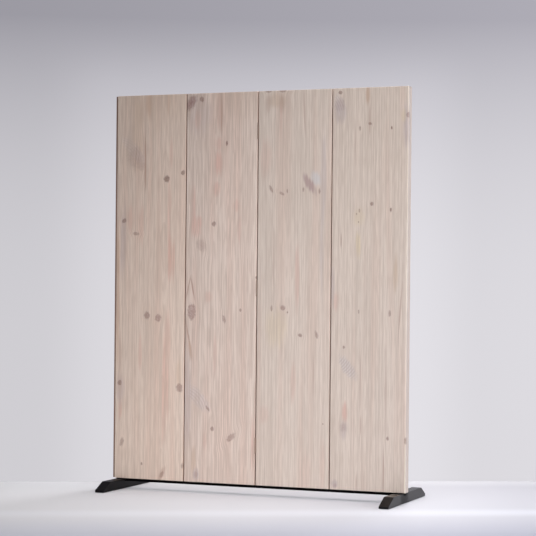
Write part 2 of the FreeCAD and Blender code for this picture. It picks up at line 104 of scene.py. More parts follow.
@dataclass
class Graph:
    """A node tree with short ways to add and wire its nodes."""

    tree: bpy.types.NodeTree

    def add(self, kind: str, **settings: object) -> Node:
        """Add one node.

        Args:
            kind: The node's type name.
            **settings: Properties to set on the node.

        Returns:
            The new node.
        """
        node = self.tree.nodes.new(kind)
        for name, value in settings.items():
            setattr(node, name, value)
        return node

    def feed(self, socket: Socket, value: Feed) -> None:
        """Give an input its value.

        Args:
            socket: The input.
            value: Another node's output, to link, or a constant.
        """
        if isinstance(value, Socket):
            self.tree.links.new(value, socket)
        else:
            socket.default_value = value

    def work_out(self, kind: str, values: Iterable[Feed], **settings: object) -> Socket:
        """Add a node, feed its inputs in their order and take its first output.

        Args:
            kind: The node's type name.
            values: Its inputs, from the first on.
            **settings: Properties to set on the node.

        Returns:
            The first output.
        """
        node = self.add(kind, **settings)
        for socket, value in zip(node.inputs, values):
            self.feed(socket, value)
        return node.outputs[0]

    def math(self, operation: str, *values: Feed) -> Socket:
        """Add a Math node and return its result."""
        return self.work_out("ShaderNodeMath", values, operation=operation)

    def times(self, first: Feed, *factors: Feed) -> Socket:
        """Multiply two or more numbers, from the first on.

        Args:
            first: The first number.
            *factors: The others.

        Returns:
            The product.
        """
        for factor in factors:
            first = self.math("MULTIPLY", first, factor)
        return first

    def times_plus(self, first: Feed, factor: Feed, more: Feed) -> Socket:
        """Multiply two numbers and add a third."""
        return self.math("MULTIPLY_ADD", first, factor, more)

    def plus(self, first: Feed, second: Feed) -> Socket:
        """Add two numbers."""
        return self.math("ADD", first, second)

    def less(self, first: Feed, second: Feed) -> Socket:
        """Take the second number from the first."""
        return self.math("SUBTRACT", first, second)

    def vector(self, operation: str, *values: Feed) -> Socket:
        """Add a Vector Math node and return its vector."""
        return self.work_out("ShaderNodeVectorMath", values, operation=operation)

    def scaled(self, value: Feed, factor: Feed) -> Socket:
        """Multiply a vector or a colour by one number.

        Args:
            value: The vector or colour.
            factor: The number.

        Returns:
            The product.
        """
        node = self.add("ShaderNodeVectorMath", operation="SCALE")
        self.feed(node.inputs[0], value)
        self.feed(node.inputs["Scale"], factor)
        return node.outputs[0]

    def split(self, place: Feed) -> tuple[Socket, ...]:
        """Split a place or a direction.

        Args:
            place: The place or direction.

        Returns:
            Its X, Y and Z.
        """
        node = self.add("ShaderNodeSeparateXYZ")
        self.feed(node.inputs[0], place)
        return tuple(node.outputs)

    def join(self, *parts: Feed) -> Socket:
        """Put up to three numbers together as a vector."""
        return self.work_out("ShaderNodeCombineXYZ", parts)

    def object_place(self) -> Socket:
        """Read the place on the object."""
        return self.add("ShaderNodeTexCoord").outputs["Object"]

    def reach(self, first: Feed, second: Feed) -> Socket:
        """Work out the distance that two distances at a right angle make."""
        square = self.times_plus(first, first, self.times(second, second))
        return self.math("SQRT", square)

    def turned(self, aside: Feed, above: Feed, angle: Feed) -> tuple[Socket, Socket]:
        """Measure a place along two axes that are turned in the plane of the board.

        Args:
            aside: Its distance across the board.
            above: Its distance up the board.
            angle: The turn in radians.

        Returns:
            Its distances along the two turned axes.
        """
        cosine, sine = self.math("COSINE", angle), self.math("SINE", angle)
        along = self.times_plus(aside, cosine, self.times(above, sine))
        over = self.less(self.times(above, cosine), self.times(aside, sine))
        return along, over

    def noise(self, place: Feed, detail: float, roughness: float = 0.5) -> Socket:
        """Add a Noise Texture of scale 1.

        Args:
            place: Where it is read.
            detail: How many finer layers it has.
            roughness: How strong the finer layers are.

        Returns:
            Its value, about 0.5 in the middle.
        """
        node = self.add("ShaderNodeTexNoise", noise_dimensions="3D")
        node.inputs["Scale"].default_value = 1.0
        node.inputs["Detail"].default_value = detail
        node.inputs["Roughness"].default_value = roughness
        self.feed(node.inputs["Vector"], place)
        return node.outputs["Fac"]

    def pattern(self, place: Feed, pattern: Pattern, seed: Feed) -> Socket:
        """Add a noise pattern, moved by a seed so that no two of them match.

        Args:
            place: Where it is read.
            pattern: Its scale and its grain.
            seed: How far it is moved on each axis.

        Returns:
            Its value, about 0.5 in the middle.
        """
        shift = self.plus(seed, pattern.shift) if pattern.shift else seed
        scaled = self.vector("MULTIPLY", place, pattern.scale)
        return self.noise(self.vector("ADD", scaled, self.join(shift, shift, shift)), pattern.detail,
                          pattern.roughness)

    def slope(self, value: Feed, low: Feed, high: Feed, to_low: Feed = 0.0, to_high: Feed = 1.0,
              smooth: bool = True) -> Socket:
        """Add a clamped Map Range.

        Args:
            value: What is mapped.
            low: The value that gives to_low.
            high: The value that gives to_high.
            to_low: The result at low.
            to_high: The result at high.
            smooth: Whether the ends are rounded off.

        Returns:
            The mapped value.
        """
        return self.work_out("ShaderNodeMapRange", (value, low, high, to_low, to_high),
                             interpolation_type="SMOOTHSTEP" if smooth else "LINEAR")

    def blend(self, share: Feed, first: Feed, second: Feed) -> Socket:
        """Mix two colours.

        Args:
            share: The share of the second.
            first: The first colour.
            second: The second colour.

        Returns:
            The mixed colour.
        """
        node = self.add("ShaderNodeMix", data_type="RGBA")
        for index, value in ((0, share), (6, first), (7, second)):
            self.feed(node.inputs[index], value)
        return node.outputs[2]

    def bump(self, height: Feed, distance: float, strength: float) -> Socket:
        """Turn a height into a normal.

        Args:
            height: The height, from 0 to 1.
            distance: How high 1 is.
            strength: How strongly it shows.

        Returns:
            The normal.
        """
        node = self.add("ShaderNodeBump")
        node.inputs["Strength"].default_value = strength
        node.inputs["Distance"].default_value = distance
        self.feed(node.inputs["Height"], height)
        return node.outputs["Normal"]

    def use(self, group: bpy.types.NodeTree, **values: Feed) -> bpy.types.NodeOutputs:
        """Place a shader node group.

        Args:
            group: The group.
            **values: Its inputs by name, with _ for a space.

        Returns:
            The group's outputs by name.
        """
        node = self.add("ShaderNodeGroup", node_tree=group)
        for name, value in values.items():
            self.feed(node.inputs[name.replace("_", " ")], value)
        return node.outputs


def new_group(name: str, inputs: dict[str, Feed],
              outputs: Iterable[str]) -> tuple[Graph, bpy.types.NodeOutputs, bpy.types.NodeInputs]:
    """Start a shader node group.

    Args:
        name: The group's name.
        inputs: Each input's name and default: three numbers make a vector, four a colour.
        outputs: The names of its outputs: Colour is a colour, and the others are plain values.

    Returns:
        The group's graph, what it is given and what it puts out, both by name.
    """
    tree = bpy.data.node_groups.new(name, "ShaderNodeTree")
    for label, default in inputs.items():
        kind = "Float" if isinstance(default, float) else ("Vector" if len(default) == 3 else "Color")
        socket = tree.interface.new_socket(label, in_out="INPUT", socket_type=f"NodeSocket{kind}")
        socket.default_value = default
    for label in outputs:
        kind = "Color" if label == "Colour" else "Float"
        tree.interface.new_socket(label, in_out="OUTPUT", socket_type=f"NodeSocket{kind}")
    graph = Graph(tree)
    return graph, graph.add("NodeGroupInput").outputs, graph.add("NodeGroupOutput").inputs


# ---------------------------------------------------------------- shared effects

KNOT_EDGE = Pattern((150.0, 60.0, 110.0), 3.0)
KNOT_MOTTLE = Pattern((190.0, 90.0, 160.0), 3.0)
BLUSH_EDGE = Pattern((120.0, 120.0, 8.0), 1.0)
FAN_EDGE = Pattern((110.0, 60.0, 60.0), 1.0)
PITH_SWAY = Pattern((2.0, 2.0, 1.7), 1.0)
PITH_DIP = Pattern((5.0, 5.0, 2.6), 2.0, 7.3)
RING_RIPPLE = Pattern((26.0, 26.0, 5.0), 3.0, 3.1, 0.55)
RING_STRENGTH = Pattern((0.6, 1.0, 1.0), 1.0)
FIBRE = Pattern((620.0, 620.0, 9.0), 3.0, 0.0, 0.62)
LINE = Pattern((250.0, 250.0, 2.2), 0.0, 4.4)
DASH = Pattern((290.0, 290.0, 15.0), 0.0, 8.8)
STREAK = Pattern((30.0, 30.0, 1.2), 0.6, 1.7)
PATCH = Pattern((13.0, 13.0, 2.6), 1.5, 5.9)
PORE = Pattern((950.0, 950.0, 45.0), 1.0, 2.3)
RELIEF_PORE = replace(PORE, shift=0.0)
HOLLOW = Pattern((170.0, 170.0, 3.0), 1.0)
LONG_SCRATCH = Pattern((900.0, 22.0, 900.0))
CROSS_SCRATCH = Pattern((60.0, 700.0, 200.0))
DUST = Pattern((38.0, 38.0, 38.0), 4.0, 0.0, 0.6)

# The values of a pattern or a radius between which something shows or fades.
PORE_OPENS = (0.66, 0.78)
SCRATCH_SHOWS = (0.68, 0.80)
DUST_SHOWS = (0.42, 0.75)
KNOT_RIM = (0.50, 0.92)
KNOT_EYE = (0.42, 0.10)
BLUSH_SPAN = (0.50, 1.40)
FAN_SPAN = (0.55, 1.25)
LATE_RISES = (0.48, 0.93)
LATE_ENDS = (0.95, 1.0, 1.0, 0.0)
RING_SPREAD = (0.30, 0.70, 0.35, 1.0)

KNOT_RAGGED = 1.1                # how ragged the outlines are, as shares of their half sizes
BLUSH_RAGGED = 1.2
FAN_RAGGED = 0.8
KNOT_BASE = 0.24                 # how dark a knot is all over, and what its mottle, its rim and its eye add
MOTTLE_SHADE = 0.90
RIM_SHADE = 0.20
EYE_SHADE = 0.16
SWING_ACROSS = -0.34             # how quickly the grain's swing round a knot dies away beside it and above it
SWING_UP = -0.14
SWING_PUSH = -0.50               # how far the grain is pushed, as a share of its distance from the knot
FAN_CURVE = 5.0                  # how strongly a fan's stripes are curved, how pale and how dark they are
FAN_PALE = 0.65
FAN_DARK = 0.50
TREE_TAPER = 0.011               # how much the tree narrows for each metre up
CALM_RIPPLE = 0.0026             # the ripple of the rings away from knots, and what a knot adds to it
KNOT_RIPPLE = 0.008
YEARS_SCALE = 55.0               # the scale of the wide and narrow years, and how many rings they move by
YEARS_UNEVEN = 3.4
RING_SEED = 11.0
FIBRE_HEIGHT = 0.5
HOLLOW_HEIGHT = 0.5
PORE_HEIGHT = -0.4

MARK = {"Place": ORIGIN, "Across": 0.0, "Up": 0.0, "Half wide": 0.01, "Half tall": 0.01, "Lean": 0.0}


class Effects:
    """Shader node groups that several finishes share, each built once."""

    def __init__(self) -> None:
        """Build every group."""
        self.knot = self._knot()
        self.blush = self._blush()
        self.fan = self._fan()
        self.figure = self._figure()
        self.relief = self._relief()
        self.scuffs = self._scuffs()

    @staticmethod
    def _from_middle(graph: Graph, own: bpy.types.NodeOutputs) -> tuple[Socket, Socket]:
        """Measure how far a place lies from a mark's middle.

        Args:
            graph: The mark's graph.
            own: What the group is given.

        Returns:
            The distances beside and above the middle.
        """
        across, _, up = graph.split(own["Place"])
        return graph.less(across, own["Across"]), graph.less(up, own["Up"])

    @staticmethod
    def _cover(graph: Graph, own: bpy.types.NodeOutputs, edge: Pattern, ragged: float,
               span: tuple[float, float]) -> tuple[Socket, Socket, Socket]:
        """Work out how strongly a leaning mark with a ragged outline covers a place.

        Args:
            graph: The mark's graph.
            own: What the group is given.
            edge: The pattern of its outline.
            ragged: How ragged the outline is.
            span: The shares of its half size where it is still full and where it ends.

        Returns:
            The distances beside and above its middle, and how strongly it covers the place.
        """
        aside, above = Effects._from_middle(graph, own)
        slant = graph.times_plus(above, graph.math("TANGENT", own["Lean"]), aside)
        radius = graph.reach(graph.math("DIVIDE", slant, own["Half wide"]),
                             graph.math("DIVIDE", above, own["Half tall"]))
        torn = graph.pattern(own["Place"], edge, own["Up"])
        radius = graph.times_plus(torn, ragged, graph.less(radius, ragged / 2))
        return aside, above, graph.times(graph.slope(radius, *span, 1.0, 0.0), own["Strength"])

    @staticmethod
    def _knot() -> bpy.types.NodeTree:
        """A branch knot. It pushes the grain aside and adds to the running shade and tint.

        Returns:
            The group.
        """
        running = {"Bent": 0.0, "Shade": 0.0, "Tint": 0.0, "Halo": 0.0}
        look = {"Depth": 1.0, "Purple": 0.0, "Softness": 0.3}
        graph, own, out = new_group("Pine knot", MARK | running | look, running)
        aside, above = Effects._from_middle(graph, own)
        along, over = graph.turned(aside, above, own["Lean"])
        share_x = graph.math("DIVIDE", along, own["Half wide"])
        share_z = graph.math("DIVIDE", over, own["Half tall"])
        torn = graph.pattern(own["Place"], KNOT_EDGE, own["Up"])
        wobble = graph.times_plus(torn, KNOT_RAGGED, -KNOT_RAGGED / 2)
        radius = graph.plus(graph.reach(share_x, share_z), wobble)
        inner = graph.less(1.0, own["Softness"])
        outer = graph.plus(1.0, own["Softness"])
        spot = graph.slope(radius, inner, outer, 1.0, 0.0)
        rim = graph.slope(radius, *KNOT_RIM)
        eye = graph.slope(radius, *KNOT_EYE)
        mottle = graph.pattern(own["Place"], KNOT_MOTTLE, own["Across"])
        grained = graph.times_plus(rim, RIM_SHADE, graph.times_plus(mottle, MOTTLE_SHADE, KNOT_BASE))
        grained = graph.times_plus(eye, EYE_SHADE, grained)
        dark = graph.times(spot, own["Depth"], grained)
        # The grain swings round the knot in a long spindle.
        near = graph.times_plus(graph.times(share_x, share_x), SWING_ACROSS,
                                graph.times(share_z, share_z, SWING_UP))
        swing = graph.math("EXPONENT", near)
        push = graph.times(aside, swing, SWING_PUSH)
        graph.feed(out["Bent"], graph.plus(own["Bent"], push))
        added = {"Shade": dark, "Tint": graph.times(spot, own["Purple"]),
                 "Halo": graph.times(swing, own["Depth"])}
        for name, value in added.items():
            graph.feed(out[name], graph.math("MAXIMUM", own[name], value))
        return graph.tree

    @staticmethod
    def _blush() -> bpy.types.NodeTree:
        """A long soft mark along the grain, laid over a running colour.

        Returns:
            The group.
        """
        inputs = MARK | {"Strength": 0.5, "Colour": WHITE, "Mark": WHITE}
        graph, own, out = new_group("Pine blush", inputs, ("Colour",))
        _, _, cover = Effects._cover(graph, own, BLUSH_EDGE, BLUSH_RAGGED, BLUSH_SPAN)
        graph.feed(out["Colour"], graph.blend(cover, own["Colour"], own["Mark"]))
        return graph.tree

    @staticmethod
    def _fan() -> bpy.types.NodeTree:
        """A pale patch of curved stripes, where the grain runs out of the board, laid over a running colour.

        Returns:
            The group.
        """
        inputs = MARK | {"Stripe turn": 0.0, "Pitch": 0.01, "Strength": 0.5,
                         "Colour": WHITE, "Pale": WHITE, "Dark": WHITE}
        graph, own, out = new_group("Pine fan", inputs, ("Colour",))
        aside, above, cover = Effects._cover(graph, own, FAN_EDGE, FAN_RAGGED, FAN_SPAN)
        forward, along = graph.turned(aside, above, own["Stripe turn"])
        curved = graph.times_plus(graph.times(along, along), FAN_CURVE, forward)
        phase = graph.times(graph.math("DIVIDE", curved, own["Pitch"]), math.tau)
        stripe = graph.times_plus(graph.math("SINE", phase), 0.5, 0.5)
        pale = graph.blend(graph.times(cover, FAN_PALE), own["Colour"], own["Pale"])
        dark = graph.times(cover, stripe, FAN_DARK)
        graph.feed(out["Colour"], graph.blend(dark, pale, own["Dark"]))
        return graph.tree

    @staticmethod
    def _figure() -> bpy.types.NodeTree:
        """The figure of sawn pine: growth rings round a pith, fine fibre, lines, dashes, streaks and pores.

        Returns:
            The group.
        """
        board = {"Place": ORIGIN, "Bent": 0.0, "Halo": 0.0, "Pith across": 0.15, "Pith depth": 0.06,
                 "Ring width": 0.004, "Wander": 0.02, "Flame": 0.02, "Seed": 0.0}
        graph, own, out = new_group("Pine figure", board,
                                    ("Latewood", "Fibre", "Line", "Dash", "Streak", "Patch", "Pore"))
        seed = own["Seed"]
        _, depth, up = graph.split(own["Place"])
        place = graph.join(own["Bent"], depth, up)

        def drift(pattern: Pattern, reach: Feed) -> Socket:
            """Move the pith slowly to both sides of its line."""
            return graph.times(graph.less(graph.pattern(place, pattern, seed), 0.5), reach)

        side = graph.plus(graph.less(own["Bent"], own["Pith across"]), drift(PITH_SWAY, own["Wander"]))
        back = graph.plus(graph.plus(depth, own["Pith depth"]), drift(PITH_DIP, own["Flame"]))
        ring = graph.times_plus(up, TREE_TAPER, graph.reach(side, back))
        ripple = graph.less(graph.pattern(place, RING_RIPPLE, seed), 0.5)
        lively = graph.times_plus(own["Halo"], KNOT_RIPPLE, CALM_RIPPLE)
        ring = graph.times_plus(ripple, lively, ring)
        years = graph.join(graph.times(ring, YEARS_SCALE), seed)
        even = graph.math("DIVIDE", ring, own["Ring width"])
        year = graph.times_plus(graph.noise(years, 2.0), YEARS_UNEVEN, even)
        part = graph.math("FRACT", year)
        late = graph.times(graph.slope(part, *LATE_RISES), graph.slope(part, *LATE_ENDS))
        strong = graph.pattern(years, RING_STRENGTH, RING_SEED)
        graph.feed(out["Latewood"], graph.times(late, graph.slope(strong, *RING_SPREAD)))
        for name, pattern in (("Fibre", FIBRE), ("Line", LINE), ("Dash", DASH), ("Streak", STREAK),
                              ("Patch", PATCH)):
            graph.feed(out[name], graph.pattern(place, pattern, seed))
        graph.feed(out["Pore"], graph.slope(graph.pattern(place, PORE, seed), *PORE_OPENS))
        return graph.tree

    @staticmethod
    def _relief() -> bpy.types.NodeTree:
        """The height of a planed and lacquered pine face: raised fibre, soft hollows and open pores.

        Returns:
            The group.
        """
        graph, own, out = new_group("Pine relief", {"Place": ORIGIN, "Seed": 0.0}, ("Height",))
        fibre, hollow, pore = (graph.pattern(own["Place"], pattern, own["Seed"])
                               for pattern in (FIBRE, HOLLOW, RELIEF_PORE))
        height = graph.times_plus(fibre, FIBRE_HEIGHT, graph.times(hollow, HOLLOW_HEIGHT))
        height = graph.times_plus(graph.slope(pore, *PORE_OPENS), PORE_HEIGHT, height)
        graph.feed(out["Height"], height)
        return graph.tree

    @staticmethod
    def _scuffs() -> bpy.types.NodeTree:
        """Grain, handling marks and dust for coated metal and rubber.

        Returns:
            The group.
        """
        graph, own, out = new_group("Scuffs and dust", {"Place": ORIGIN, "Grain": 900.0, "Seed": 0.0},
                                    ("Grain", "Scratch", "Dust"))
        grain = graph.add("ShaderNodeTexNoise")
        grain.inputs["Detail"].default_value = 2.0
        graph.feed(grain.inputs["Scale"], own["Grain"])
        graph.feed(grain.inputs["Vector"], own["Place"])
        graph.feed(out["Grain"], grain.outputs["Fac"])
        first, second, cloud = (graph.pattern(own["Place"], pattern, own["Seed"])
                                for pattern in (LONG_SCRATCH, CROSS_SCRATCH, DUST))
        graph.feed(out["Scratch"], graph.slope(graph.math("MAXIMUM", first, second), *SCRATCH_SHOWS))
        graph.feed(out["Dust"], graph.slope(cloud, *DUST_SHOWS))
        return graph.tree


# ---------------------------------------------------------------- finishes

@dataclass(frozen=True)
class KnotShape:
    """How one kind of knot looks: its half sizes, how dark, how purple and how soft it is."""

    half_wide: float
    half_tall: float
    depth: float
    purple: float
    softness: float


class KnotKind(Enum):
    """The kinds of knot in whitewashed pine."""

    PIN = KnotShape(0.0042, 0.0055, 0.72, 0.10, 0.45)
    SLIT = KnotShape(0.0042, 0.0100, 0.62, 0.15, 0.45)
    DARK = KnotShape(0.0040, 0.0095, 0.98, 0.10, 0.45)
    SMALL = KnotShape(0.0078, 0.0092, 0.76, 0.20, 0.40)
    ROUND = KnotShape(0.0115, 0.0130, 0.82, 0.15, 0.35)
    PURPLE = KnotShape(0.0115, 0.0130, 0.66, 0.70, 0.40)
    OVAL = KnotShape(0.0165, 0.0300, 0.62, 0.85, 0.25)
    SPIKE = KnotShape(0.0100, 0.0205, 0.56, 0.35, 0.38)
    SMUDGE = KnotShape(0.0190, 0.0240, 0.30, 1.00, 0.60)
    BRUISE = KnotShape(0.0150, 0.0300, 0.78, 1.00, 0.60)


@dataclass(frozen=True)
class Knot:
    """A knot's place on its board, from the board's lower left corner, and its kind, lean and size."""

    across: float
    up: float
    kind: KnotKind = KnotKind.PIN
    lean: float = 0.0
    size: float = 1.0

    @property
    def half_wide(self) -> float:
        """Half its width."""
        return self.kind.value.half_wide * self.size

    @property
    def half_tall(self) -> float:
        """Half its height."""
        return self.kind.value.half_tall * self.size


class BlushKind(Enum):
    """The tints that run along the grain."""

    SALMON = tone(208, 170, 157)
    RED_LINE = tone(168, 133, 119)
    ORANGE = tone(190, 154, 130)
    TAN = tone(196, 170, 148)
    YELLOW = tone(214, 195, 168)
    LILAC = tone(190, 174, 172)
    PURPLE = tone(172, 146, 144)
    MIST = tone(208, 200, 198)


@dataclass(frozen=True)
class Blush:
    """A tinted mark on a board: its middle from the lower left corner, half sizes, lean and strength."""

    across: float
    up: float
    half_wide: float
    half_tall: float
    kind: BlushKind = BlushKind.SALMON
    strength: float = 0.5
    lean: float = 0.0


@dataclass(frozen=True)
class Fan:
    """A patch where the grain crosses the board: its middle, half sizes, lean, stripes and strength."""

    across: float
    up: float
    half_wide: float
    half_tall: float
    lean: float
    stripe_turn: float
    pitch: float
    strength: float


@dataclass(frozen=True)
class Timber:
    """How one board was sawn: where its pith lies, how strong its rings, lines and dashes show, its marks."""

    seed: float
    pith_across: float
    pith_depth: float
    ring_width: float = 0.0042
    wander: float = 0.03
    flame: float = 0.03
    rings: float = 0.45
    lines: float = 0.50
    dashes: float = 0.40
    cast: Triple = (1.0, 1.0, 1.0)
    knots: tuple[Knot, ...] = ()
    blushes: tuple[Blush, ...] = ()
    fans: tuple[Fan, ...] = ()


